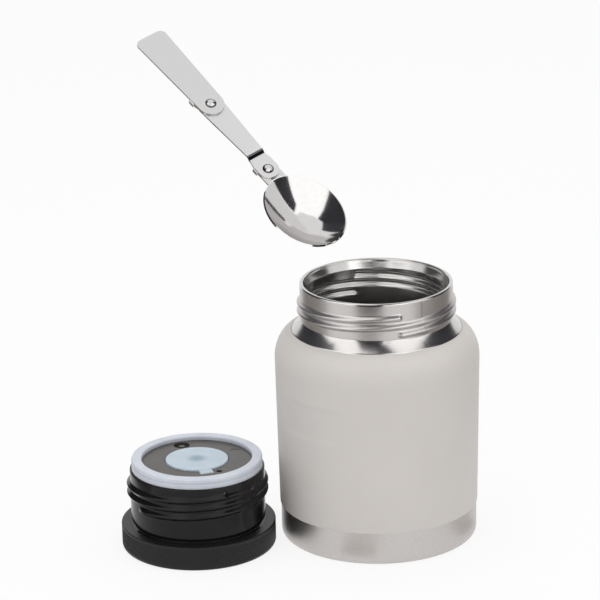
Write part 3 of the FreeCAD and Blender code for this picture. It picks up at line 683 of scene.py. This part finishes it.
# Silicone seal and valve
# Bluish white translucent silicone: the seal ring has two lips round its edge, and the valve is a
# soft disc with a dimple and a pull tab, held by its stem. Both are moulded and a little waxy.
SEAL_R = 32.05
SEAL_IN = 27.0
SEAL_TOP = 45.3
SEAL_GROOVE = 0.55
PLATE_TOP = 43.2
WELL_DEPTH = 1.0
VALVE_R = 15.4
VALVE_TOP = PLATE_TOP + 0.7
VALVE_DIMPLE_R = 4.0
VALVE_DIMPLE = 0.6
TAB_W = 6.6
TAB_REACH = 19.2
TAB_ANGLE = -73.0
BULB_LOW = 35.0
BULB_TOP = 36.8
BULB_R = 3.1
STEM_R = 2.0


def rubbery(name, color, second, thin="", thin_r=0.0):
    """Translucent silicone with slight clouding, and the thin colour in the middle of the valve."""
    glow = {"Subsurface_Weight": 0.35, "Subsurface_Scale": 0.004}
    material, tree, shader = new_material(name, color, 0.0, 0.38, **glow)
    shader.inputs["Subsurface Radius"].default_value = (1.0, 1.0, 1.1)
    place = object_place(tree)
    clouds = noise(tree, place, 1000 / 9.0, 2.0)
    shade = clouded(tree, shader, clouds, color, second)
    if thin:
        middle = (LID_X * MM, LID_Y * MM, VALVE_TOP * MM)
        from_middle = vector_maths(tree, "DISTANCE", place, middle, output="Value")
        thick = spread(tree, from_middle, thin_r * 0.6 * MM, thin_r * 1.5 * MM, 0.0, 1.0)
        tree.links.new(two_tone(tree, thick, thin, shade), shader.inputs["Base Color"])
    skin = noise(tree, place, 1000 / 0.7, 2.0)
    bump(tree, shader, skin, 0.01, 0.3)
    return material


silicone = rubbery("translucent_silicone", "#C3C8D3", "#CDD2DA")
thin_silicone = rubbery("thin_silicone", "#B4C4D1", "#BFCDD8", thin="#8FA6B6", thin_r=VALVE_DIMPLE_R)
seal_mid = (PLUG_TOP + SEAL_TOP) / 2 + 0.2
seal_points = [
    (SEAL_IN, PLUG_TOP, 0.3),
    (SEAL_R, PLUG_TOP, 0.5),
    (SEAL_R, seal_mid - 0.35, 0.25),
    (SEAL_R - SEAL_GROOVE, seal_mid, 0.2),
    (SEAL_R, seal_mid + 0.35, 0.25),
    (SEAL_R, SEAL_TOP, 1.1),
    (SEAL_IN, SEAL_TOP, 1.1),
]
seal = turned("silicone_seal", rounded(seal_points, 6), 192, None, LID, angle=80.0)
dressed(seal, silicone, "silicone", "stopper", "seal_ring")


def tab_reach(theta):
    """Radius of the disc's outline, out to the straight pull tab near its angle."""
    across = (theta - math.radians(TAB_ANGLE) + math.pi) % (2 * math.pi) - math.pi
    half = TAB_W / 2
    side = half / np.maximum(np.abs(np.sin(across)), 1e-6)
    end = TAB_REACH / np.maximum(np.cos(across), 1e-6)
    tab = np.minimum(side, end)
    return np.where(np.abs(across) < math.pi / 3, np.maximum(tab, VALVE_R), VALVE_R)


def valve_shape(r, z, theta):
    """Stretches the lower rim of the disc out to the tab, and sinks the dimple in its middle."""
    low = z < PLATE_TOP + 0.05
    edge = r > VALVE_R - 1.2
    grown = np.where(low & edge, r + tab_reach(theta) - VALVE_R, r)
    dimple = VALVE_DIMPLE * (1 - smooth_step(r / VALVE_DIMPLE_R)) * (z > VALVE_TOP - 0.1)
    return grown, z - dimple


valve_points = [
    (AXIS_R, BULB_LOW),
    (BULB_R, BULB_LOW, 0.4),
    (BULB_R, BULB_TOP, 0.4),
    (STEM_R, BULB_TOP),
    (STEM_R, PLATE_TOP - WELL_DEPTH),
    (VALVE_R, PLATE_TOP - WELL_DEPTH),
    (VALVE_R, PLATE_TOP - 0.02, 0.15),
    (VALVE_R - 0.1, PLATE_TOP),
    (VALVE_R - 0.1, VALVE_TOP, 0.45),
    (VALVE_DIMPLE_R + 0.4, VALVE_TOP),
]
dimple_rings = [(VALVE_DIMPLE_R * k / 6, VALVE_TOP) for k in (6, 5, 4, 3, 2, 1)] + [(AXIS_R, VALVE_TOP)]
valve = turned("silicone_valve", rounded(valve_points + dimple_rings, 5), 720, valve_shape, LID, angle=60.0)
dressed(valve, thin_silicone, "silicone", "valve", "relief_valve")

# Hinge pin
# A short polished steel pin through the cover's knuckle and the ring.
polished = speckled("polished_stainless_steel", "#D8D6D4", "#CFCCCA", 1.0, 0.12, 2.0, 0.002)
repaint("cover_hinge_pin", polished)

# Spoon
# Three stamped stainless steel straps joined by two domed rivets: a polished bowl, a satin link with
# a joggle, and a satin handle that folds over the link. Small upturned stops keep them straight.
SHEET_T = 1.0
PLATE_CLEAR = 0.1
SHEET_EDGE = 0.16
BOWL_TIP = 51.4
BOWL_LENGTH = 44.8
BOWL_W = 34.7
BOWL_DEPTH = 9.2
BOWL_T = 0.9
BOWL_NECK_R = 5.4
BOWL_FROM = 6.0
BOWL_EDGE = 0.25
BOWL_FULLNESS = 1.05
NECK_BLEND = 3.5
LINK_LENGTH = 46.1
LINK_W = 9.2
LINK_END_R = 6.6
JOGGLE_AT = 8.9
JOGGLE_RUN = 1.9
JOGGLE_RISE = 1.2
WAIST_RUN = 5.0
HANDLE_LENGTH = 51.1
HANDLE_END_W = 17.2
HANDLE_NECK_R = 6.7
HANDLE_CORNER = 3.4
RIVET_R = 1.4
RIVET_HEAD_R = 2.75
RIVET_HEAD_H = 0.95
RIVET_TAIL_H = 0.6
RIVET_TAIL_R = 1.9
CREASE_IN = 1.75
CREASE_OUT = 2.35
STOP_T = 0.9
STOP_L = 3.4
STOP_GAP = 0.12
HANDLE_STOP_AT = 5.5
BOWL_STOP_AT = 2.3
SATIN = "#D8D7D7"
SATIN_DARK = "#CFCECE"
SATIN_ROUGH = 0.34
# Painted reflection: the darker colour of the joggle's bend.
BEND_PAINTED_REFLECTION = "#5E5A60"
BURNISHED_ROUGH = 0.12
BEND_SOFT = 0.4
RIVET_STEEL = "#D3D1D0"
# Painted shade and reflection in the crease round each rivet's dome.
RIVET_CREASE_SHADE = "#4C484A"
SPOON_AT = (-51.2, 10.4, 182.8)
SPOON_LEAN = 48.9
SPOON_BACK = 18.4
SPOON_DIP = 23.8
SPOON_ROLL = -28.7
spoon_place = (
    Matrix.Translation(Vector(SPOON_AT) * MM)
    @ Matrix.Rotation(math.radians(90 - SPOON_BACK), 4, "X")
    @ Matrix.Rotation(math.radians(-SPOON_LEAN), 4, "Z")
    @ Matrix.Rotation(math.radians(-SPOON_DIP), 4, "Y")
    @ Matrix.Rotation(math.radians(SPOON_ROLL), 4, "X")
)
LINK_LOW = PLATE_CLEAR
LINK_MAIN = LINK_LOW + JOGGLE_RISE
HANDLE_LOW = LINK_MAIN + SHEET_T + PLATE_CLEAR


def placed(piece):
    """Moves a piece's mesh from the spoon's own frame to its place."""
    piece.data.transform(spoon_place)
    piece.data.update()
    return piece


def stamped(name, stations, half_width, level, across, thickness, edge, edge_segments=2, grows=1.0):
    """Stamped sheet with eased edges: half_width(x) gives its outline and level(x, y) one face.

    It grows upwards from that face, or downwards where grows is -1.
    """
    deselect()
    rows = len(stations) - 1
    bpy.ops.mesh.primitive_grid_add(x_subdivisions=rows, y_subdivisions=across, size=1)
    piece = bpy.context.object
    piece.name = name
    flat = np.zeros(len(piece.data.vertices) * 3)
    piece.data.vertices.foreach_get("co", flat)
    flat = flat.reshape(-1, 3)
    x = np.array(stations)[np.rint((flat[:, 0] + 0.5) * rows).astype(int)]
    y = np.sin(flat[:, 1] * math.pi) * half_width(x)
    piece.data.vertices.foreach_set("co", (np.stack([x, y, level(x, y)], 1) * MM).reshape(-1))
    piece.data.update()
    bpy.ops.object.mode_set(mode="EDIT")
    bpy.ops.mesh.select_all(action="SELECT")
    bpy.ops.mesh.remove_doubles(threshold=0.004 * MM)
    bpy.ops.mesh.normals_make_consistent(inside=False)
    bpy.ops.object.mode_set(mode="OBJECT")
    if sum(face.normal.z for face in piece.data.polygons) < 0:
        piece.data.flip_normals()
    wall = piece.modifiers.new("thickness", "SOLIDIFY")
    wall.thickness = thickness * MM
    wall.offset = grows
    bpy.ops.object.modifier_apply(modifier=wall.name)
    ease = piece.modifiers.new("eased edge", "BEVEL")
    ease.width = edge * MM
    ease.segments = edge_segments
    ease.limit_method = "ANGLE"
    ease.angle_limit = math.radians(60)
    bpy.ops.object.modifier_apply(modifier=ease.name)
    return finish_mesh(piece, merge_mm=0.001, angle=50.0)


def round_end(x, centre, radius):
    """Half width of a round end."""
    return np.sqrt(np.clip(radius ** 2 - (x - centre) ** 2, 0, None))


def arc_stations(start, end, centre, radius, steps):
    """Stations that crowd towards the tip of a round end, from start to end."""
    first, last = [math.acos(max(-1.0, min(1.0, (v - centre) / radius))) for v in (start, end)]
    return [centre + radius * math.cos(first + (last - first) * k / steps) for k in range(steps + 1)]


def spaced(start, end, steps):
    """Evenly spaced stations from start to end."""
    return [start + (end - start) * k / steps for k in range(steps + 1)]


def upturned(name, x, y, low, high):
    """A small stop that stands up at the edge of a strap."""
    deselect()
    bpy.ops.mesh.primitive_cube_add(size=1, location=Vector((x, y, (low + high) / 2)) * MM)
    stop = bpy.context.object
    stop.name = name
    stop.scale = (STOP_L * MM, STOP_T * MM, (high - low) * MM)
    bpy.ops.object.transform_apply(location=True, rotation=True, scale=True)
    ease = stop.modifiers.new("eased edge", "BEVEL")
    ease.width = SHEET_EDGE * MM
    ease.segments = 2
    bpy.ops.object.modifier_apply(modifier=ease.name)
    return stop


def joined(first, *others):
    """Makes several meshes one piece."""
    deselect()
    for piece in others:
        piece.select_set(True)
    first.select_set(True)
    bpy.context.view_layer.objects.active = first
    bpy.ops.object.join()
    return first


# The bowl: pressed from one blank with its neck, then polished inside and out.
bowl_mid = BOWL_TIP - BOWL_LENGTH / 2
half_long = BOWL_LENGTH / 2


def bowl_half(x):
    """Half width of the blank: the round neck end, the neck, and the oval with a soft join."""
    oval = BOWL_W / 2 * np.sqrt(np.clip(1 - ((x - bowl_mid) / half_long) ** 2, 0, 1))
    neck = np.where(x < 0, round_end(x, 0, BOWL_NECK_R), BOWL_NECK_R)
    neck = neck * (x < bowl_mid)
    blend = np.clip(0.5 + 0.5 * (oval - neck) / NECK_BLEND, 0, 1)
    soft = neck + (oval - neck) * blend + NECK_BLEND * blend * (1 - blend) * 0.5
    return np.where(x < 1.0, neck, np.where(x > bowl_mid, oval, soft))


def bowl_level(x, y):
    """Height of the upper face: flat on the neck, sunk inside the oval."""
    share = np.clip(((x - bowl_mid) / half_long) ** 2 + (y / (BOWL_W / 2)) ** 2, 0, 1)
    return -BOWL_DEPTH * (1 - share ** BOWL_FULLNESS)


bowl_stations = arc_stations(-BOWL_NECK_R, 0, 0, BOWL_NECK_R, 14)
bowl_stations += spaced(0, BOWL_FROM, 12)[1:] + spaced(BOWL_FROM, bowl_mid, 44)[1:]
bowl_stations += arc_stations(bowl_mid, BOWL_TIP, bowl_mid, half_long, 40)[1:]
bowl = stamped("polished_bowl", bowl_stations, bowl_half, bowl_level, 64, BOWL_T, BOWL_EDGE, 3, grows=-1.0)
bowl_stop_y = -BOWL_NECK_R - STOP_GAP - STOP_T / 2
bowl_stop = upturned("bowl_stop", -BOWL_STOP_AT, bowl_stop_y, -SHEET_T, SHEET_T)
bowl_ear = upturned("bowl_ear", -BOWL_STOP_AT, bowl_stop_y + STOP_T, -SHEET_T, 0.0)
bowl = placed(joined(bowl, bowl_stop, bowl_ear))
mirror = speckled("mirror_polished_steel", "#D6D4D3", "#D2D0CF", 1.0, 0.11, 2.0, 0.001)
dressed(bowl, mirror, "polished_steel", "bowl", "spoon_bowl")


# The link: its low end lies on the bowl's neck and a joggle lifts the rest under the handle.
def link_half(x):
    """Half width of the link: round ends, a waist at the joggle, and a strap that widens."""
    slope_end = -JOGGLE_AT - JOGGLE_RUN
    share = np.clip((slope_end - x) / (LINK_LENGTH + slope_end), 0, 1)
    strap = LINK_W / 2 + (LINK_END_R - LINK_W / 2) * share
    low_end = np.where(x > 0, round_end(x, 0, BOWL_NECK_R), BOWL_NECK_R)
    waist = smooth_step((x + JOGGLE_AT) / WAIST_RUN)
    near = LINK_W / 2 + (low_end - LINK_W / 2) * waist
    far_end = round_end(x, -LINK_LENGTH, LINK_END_R)
    low_part = np.where(x > 0, low_end, near)
    high_part = np.where(x < -LINK_LENGTH, far_end, strap)
    return np.where(x > -JOGGLE_AT, low_part, high_part)


def link_level(x, y):
    """Height of the link's underside, which steps up at the joggle."""
    return LINK_LOW + JOGGLE_RISE * smooth_step((-JOGGLE_AT - x) / JOGGLE_RUN) + 0 * y


link_stations = arc_stations(BOWL_NECK_R, 0, 0, BOWL_NECK_R, 14) + spaced(0, -JOGGLE_AT, 8)[1:]
link_stations += spaced(-JOGGLE_AT, -JOGGLE_AT - JOGGLE_RUN, 10)[1:]
link_stations += spaced(-JOGGLE_AT - JOGGLE_RUN, -LINK_LENGTH, 8)[1:]
link_stations += [-LINK_LENGTH - LINK_END_R * math.sin(math.radians(t)) for t in range(6, 91, 6)]
link = stamped("satin_link", link_stations, link_half, link_level, 24, SHEET_T, SHEET_EDGE)
handle_stop_y = -(HANDLE_NECK_R + HANDLE_STOP_AT * (HANDLE_END_W / 2 - HANDLE_NECK_R) / HANDLE_LENGTH)
handle_stop_y -= STOP_GAP + STOP_T / 2
stop_x = -LINK_LENGTH - HANDLE_STOP_AT
link_stop = upturned("link_stop", stop_x, handle_stop_y, LINK_MAIN, HANDLE_LOW + SHEET_T)
deselect()
bpy.ops.mesh.primitive_cylinder_add(vertices=4, radius=1, depth=SHEET_T * MM)
wing = bpy.context.object
wing_corners = [
    (stop_x - STOP_L / 2, handle_stop_y - STOP_T / 2),
    (-LINK_LENGTH + 1.0, handle_stop_y - STOP_T / 2 + 2.0),
    (-LINK_LENGTH + 1.0, 0.0),
    (stop_x - STOP_L / 2, handle_stop_y + 3.0),
]
for corner in wing.data.vertices:
    quarter = int(round(math.degrees(math.atan2(corner.co.y, corner.co.x)) / 90)) % 4
    wing_x, wing_y = wing_corners[(3 - quarter) % 4]
    corner.co.x = wing_x * MM
    corner.co.y = wing_y * MM
    corner.co.z += (LINK_MAIN + SHEET_T / 2) * MM
link = joined(link, link_stop, wing)
link = placed(finish_mesh(link, merge_mm=0.0005, angle=50.0))
satin = speckled("satin_stamped_steel", SATIN, SATIN_DARK, 1.0, SATIN_ROUGH, 0.5, 0.002)

# The joggle shows as a dark line in the photograph: its steel is shinier, and its darker colour is a painted
# reflection.
link_steel = speckled("satin_steel_painted_reflection_at_bend", SATIN, SATIN_DARK, 1.0, SATIN_ROUGH, 0.5, 0.002)
tree = link_steel.node_tree
shader = tree.nodes["Principled BSDF"]
strap_way = tuple(spoon_place.to_3x3() @ Vector((-1, 0, 0)))
from_rivet = vector_maths(tree, "SUBTRACT", object_place(tree), tuple(spoon_place.translation))
along = vector_maths(tree, "DOT_PRODUCT", from_rivet, strap_way, output="Value")
bend_end = JOGGLE_AT + JOGGLE_RUN
bend_in = spread(tree, along, (JOGGLE_AT - BEND_SOFT) * MM, JOGGLE_AT * MM, 0.0, 1.0)
bend_out = spread(tree, along, bend_end * MM, (bend_end + BEND_SOFT) * MM, 1.0, 0.0)
bend = maths(tree, "MULTIPLY", bend_in, bend_out)
tree.links.new(spread(tree, bend, 0.0, 1.0, SATIN_ROUGH, BURNISHED_ROUGH), shader.inputs["Roughness"])
# Painted reflection: the bend is coloured darker than the strap.
tree.links.new(two_tone(tree, bend, SATIN, BEND_PAINTED_REFLECTION), shader.inputs["Base Color"])
dressed(link, link_steel, "satin_steel", "link", "spoon_link")


# The handle: wider towards its free end, which has rounded corners.
handle_end = -LINK_LENGTH - HANDLE_LENGTH
corner_x = handle_end + HANDLE_CORNER


def handle_half(x):
    """Half width of the handle: a round low end, and a strap that widens to rounded corners."""
    share = np.clip((-LINK_LENGTH - x) / HANDLE_LENGTH, 0, 1)
    strap = HANDLE_NECK_R + (HANDLE_END_W / 2 - HANDLE_NECK_R) * share
    corner = HANDLE_END_W / 2 - HANDLE_CORNER + round_end(np.minimum(x, corner_x), corner_x, HANDLE_CORNER)
    return np.where(x > -LINK_LENGTH, round_end(x, -LINK_LENGTH, HANDLE_NECK_R), np.minimum(strap, corner))


def handle_level(x, y):
    """Height of the handle's flat underside."""
    return HANDLE_LOW + 0 * x + 0 * y


handle_stations = arc_stations(-LINK_LENGTH + HANDLE_NECK_R, -LINK_LENGTH, -LINK_LENGTH, HANDLE_NECK_R, 16)
handle_stations += spaced(-LINK_LENGTH, corner_x, 10)[1:]
handle_stations += [corner_x - HANDLE_CORNER * math.sin(math.radians(t)) for t in range(9, 91, 9)]
handle = placed(stamped("satin_handle", handle_stations, handle_half, handle_level, 24, SHEET_T, SHEET_EDGE))
dressed(handle, satin, "satin_steel", "handle", "spoon_handle")


def rivet(name, x, low, high, body, node):
    """A domed rivet through two straps, with painted shade and reflection in the crease round its dome."""
    ball_r = (RIVET_HEAD_R ** 2 + RIVET_HEAD_H ** 2) / (2 * RIVET_HEAD_H)
    reach = math.asin((RIVET_HEAD_R - 0.12) / ball_r)
    points = [
        (AXIS_R, low - RIVET_TAIL_H),
        (RIVET_TAIL_R, low - RIVET_TAIL_H),
        (RIVET_TAIL_R + 0.4, low),
        (RIVET_R, low),
        (RIVET_R, high),
        (RIVET_HEAD_R, high),
        (RIVET_HEAD_R, high + 0.1),
    ]
    for k in range(12, -1, -1):
        slope = reach * k / 12
        drop = ball_r * (1 - math.cos(slope))
        points.append((max(AXIS_R, ball_r * math.sin(slope)), high + RIVET_HEAD_H - drop))
    piece = placed(turned(name, rounded(points), 48, None, (x, 0), angle=40.0))
    middle = tuple(spoon_place @ Vector((x * MM, 0, 0)))
    axis = tuple(spoon_place.to_3x3() @ Vector((0, 0, 1)))
    steel, tree, shader = new_material("polished_rivet_steel", RIVET_STEEL, 1.0, 0.14)
    from_middle = vector_maths(tree, "SUBTRACT", object_place(tree), middle)
    across = vector_maths(tree, "CROSS_PRODUCT", from_middle, axis)
    radius = vector_maths(tree, "LENGTH", across, output="Value")
    # Painted shade and reflection: the steel is coloured darker in the crease round the dome.
    crease = spread(tree, radius, CREASE_IN * MM, CREASE_OUT * MM, 0.0, 1.0)
    tree.links.new(two_tone(tree, crease, RIVET_STEEL, RIVET_CREASE_SHADE), shader.inputs["Base Color"])
    return dressed(piece, steel, "polished_steel", body, node)


rivet("bowl_rivet_domed", 0, -SHEET_T, LINK_LOW + SHEET_T, "bowl", "bowl_rivet")
rivet("handle_rivet_domed", -LINK_LENGTH, LINK_MAIN, HANDLE_LOW + SHEET_T, "link", "handle_rivet")

# Camera
# The photograph's view: from 18.4 degrees above, square to the row, far enough for flat perspective.
CAM_DOWN = 18.41
CAM_DISTANCE = 1500.0
CAM_TARGET = (-37.04, 0.0, 119.85)
CAM_ROLL = 1.19
FOCAL_PX = 3089.5
IMAGE_PX = 600.0
SENSOR_MM = 36.0
down = math.radians(CAM_DOWN)
camera_data = bpy.data.cameras.new("photo_camera")
camera_data.sensor_width = SENSOR_MM
camera_data.lens = FOCAL_PX / IMAGE_PX * SENSOR_MM
camera_data.clip_start = 0.05
camera_data.clip_end = 20.0
camera = bpy.data.objects.new("photo_camera", camera_data)
bpy.context.scene.collection.objects.link(camera)
forward = Vector((0, math.cos(down), -math.sin(down)))
turn = Matrix.Rotation(math.radians(90 - CAM_DOWN), 4, "X") @ Matrix.Rotation(math.radians(-CAM_ROLL), 4, "Z")
camera.matrix_world = Matrix.Translation((Vector(CAM_TARGET) - forward * CAM_DISTANCE) * MM) @ turn
bpy.context.scene.camera = camera

# Studio
# A pale floor and white surroundings, two large soft lights in front and one above. Cards that only
# reflections see draw the bands on the steel: far ones for the neck, near ones for flare and bowl.
FLOOR_SIZE = 30
FLOOR_WHITE = 0.85
AMBIENT = 0.72


def seen_by(tree, *rays):
    """1 for the rays named, 0 for all others."""
    sight = add_node(tree, "ShaderNodeLightPath").outputs
    seen = sight[rays[0]]
    for ray in rays[1:]:
        seen = maths(tree, "MAXIMUM", seen, sight[ray])
    return seen


deselect()
bpy.ops.mesh.primitive_plane_add(size=FLOOR_SIZE, location=(0, 0, 0))
floor = bpy.context.object
floor.name = "floor"
floor_paint, tree, shader = new_material("white_sweep", "#F2F2F2", 0.0, 0.9)
white = add_node(tree, "ShaderNodeEmission", {"Color": (1, 1, 1, 1), "Strength": 1.0}).outputs["Emission"]
blend = maths(tree, "MULTIPLY", seen_by(tree, "Is Camera Ray", "Is Glossy Ray"), FLOOR_WHITE)
shadow_mix = add_node(tree, "ShaderNodeMixShader", None, {0: blend, 1: shader.outputs["BSDF"], 2: white})
tree.links.new(shadow_mix.outputs["Shader"], tree.nodes["Material Output"].inputs["Surface"])
floor.data.materials.append(floor_paint)

world = bpy.data.worlds.new("white_room")
bpy.context.scene.world = world
world.use_nodes = True
tree = world.node_tree
sky = tree.nodes["Background"]
sky.inputs["Color"].default_value = (1, 1, 1, 1)
through = seen_by(tree, "Is Camera Ray", "Is Glossy Ray", "Is Transmission Ray")
tree.links.new(spread(tree, through, 0.0, 1.0, AMBIENT, 1.0), sky.inputs["Strength"])


def soft_light(name, place, target, width, height, watts):
    """A large rectangular soft light aimed at a point."""
    data = bpy.data.lights.new(name, "AREA")
    data.shape = "RECTANGLE"
    data.size = width
    data.size_y = height
    data.energy = watts
    lamp = bpy.data.objects.new(name, data)
    bpy.context.scene.collection.objects.link(lamp)
    lamp.location = place
    lamp.rotation_euler = (Vector(target) - Vector(place)).to_track_quat("-Z", "Y").to_euler()
    return lamp


MIDDLE = (-0.03, 0, 0.08)
BOWL_MIDDLE = (-0.037, -0.003, 0.172)
soft_light("left_box", (-0.75, -1.0, 0.75), MIDDLE, 0.5, 0.9, 1.6)
soft_light("right_box", (0.7, -1.05, 0.65), MIDDLE, 0.5, 0.9, 1.4)
soft_light("top_box", (0.0, 0.1, 1.5), MIDDLE, 1.2, 1.0, 7.0).visible_glossy = False


def card(name, material, corners):
    """A card that only reflections see, through four corners in metres."""
    deselect()
    bpy.ops.mesh.primitive_plane_add(size=1)
    flag = bpy.context.object
    flag.name = name
    order = {(-1, -1): 0, (1, -1): 1, (1, 1): 2, (-1, 1): 3}
    for vertex in flag.data.vertices:
        key = (int(math.copysign(1, vertex.co.x)), int(math.copysign(1, vertex.co.y)))
        vertex.co = corners[order[key]]
    flag.data.materials.append(material)
    flag.visible_camera = False
    flag.visible_diffuse = False
    flag.visible_shadow = False
    flag.visible_transmission = False


def toward(degrees, distance, height):
    """A place at an angle from the camera's side of the jar, counted to the right."""
    angle = math.radians(degrees - 90)
    return (distance * math.cos(angle), distance * math.sin(angle), height)


def from_bowl(degrees, height, distance):
    """A place seen from the middle of the bowl at an angle and a height in degrees."""
    flat = distance * math.cos(math.radians(height))
    side = toward(degrees, flat, distance * math.sin(math.radians(height)))
    return tuple(a + b for a, b in zip(BOWL_MIDDLE, side))


def lit_card(name, strength):
    """The material of a card that shines evenly."""
    material, tree, shader = new_material(name, "#FFFFFF", 0.0, 0.9)
    glow = add_node(tree, "ShaderNodeEmission", {"Color": (1, 1, 1, 1), "Strength": strength})
    tree.links.new(glow.outputs["Emission"], tree.nodes["Material Output"].inputs["Surface"])
    return material


flag_black = new_material("black_card", "#2B2A31", 0.0, 0.9)[0]
flag_warm = new_material("warm_dark_card", "#8A827D", 0.0, 0.9)[0]
flag_pale = new_material("pale_card", "#E2DEDC", 0.0, 0.9)[0]
white_card = lit_card("white_card", 1.5)
grey_card = lit_card("grey_card", 0.88)

# Upright cards far from the jar, from one angle and height to another.
WALL_AWAY = 0.75
for name, first, last, low, high, paint in (
    ("right_wall", 84, 136, 0.0, 1.5, flag_black),
    ("left_wall", -88, -140, 0.0, 1.5, flag_black),
    ("right_light", 22, 77, 0.45, 1.8, white_card),
    ("left_light", -84, -39, 0.45, 1.8, white_card),
):
    outline = ((first, low), (last, low), (last, high), (first, high))
    card(name, paint, [toward(degrees, WALL_AWAY, height) for degrees, height in outline])

# Cards on the floor, which the neck and the base reflect, from one angle and distance to another.
LIFT = 0.0015
for name, first, last, near, far, paint in (
    ("middle_table", -28, 3, 0.2, 0.6, flag_warm),
    ("right_table", 57, 95, 0.2, 0.6, flag_warm),
    ("far_right_table", 95, 135, 0.2, 0.6, flag_warm),
    ("left_table", -77, -105, 0.2, 0.6, flag_warm),
    ("far_left_table", -105, -140, 0.2, 0.6, flag_warm),
    ("middle_foot", -28, -4, 0.056, 0.1, flag_pale),
    ("right_foot", 62, 90, 0.056, 0.1, flag_pale),
):
    outline = ((first, near), (last, near), (last, far), (first, far))
    card(name, paint, [toward(degrees, distance, LIFT) for degrees, distance in outline])

# A small card in front of the flare, and four round the bowl by angle and height seen from its middle.
FLARE_CARD_Y = -0.062
flare_corners = ((-0.028, 0.119), (0.006, 0.119), (0.006, 0.171), (-0.028, 0.171))
card("flare_card", flag_black, [(x, FLARE_CARD_Y, z) for x, z in flare_corners])
for name, paint, away, corners in (
    ("bowl_dark_right", flag_black, 0.09, ((27, -4), (73, 0), (70, 60), (33, 50))),
    ("bowl_dark_left", flag_black, 0.07, ((-53, 8), (-128, 14), (-104, 62), (-60, 70))),
    ("bowl_grey", grey_card, 0.11, ((72, -4), (158, -4), (160, 64), (76, 64))),
    ("bowl_light", white_card, 0.12, ((-62, -14), (30, -14), (36, 64), (-54, 64))),
):
    card(name, paint, [from_bowl(degrees, height, away) for degrees, height in corners])

scene = bpy.context.scene
scene.view_settings.view_transform = "Standard"
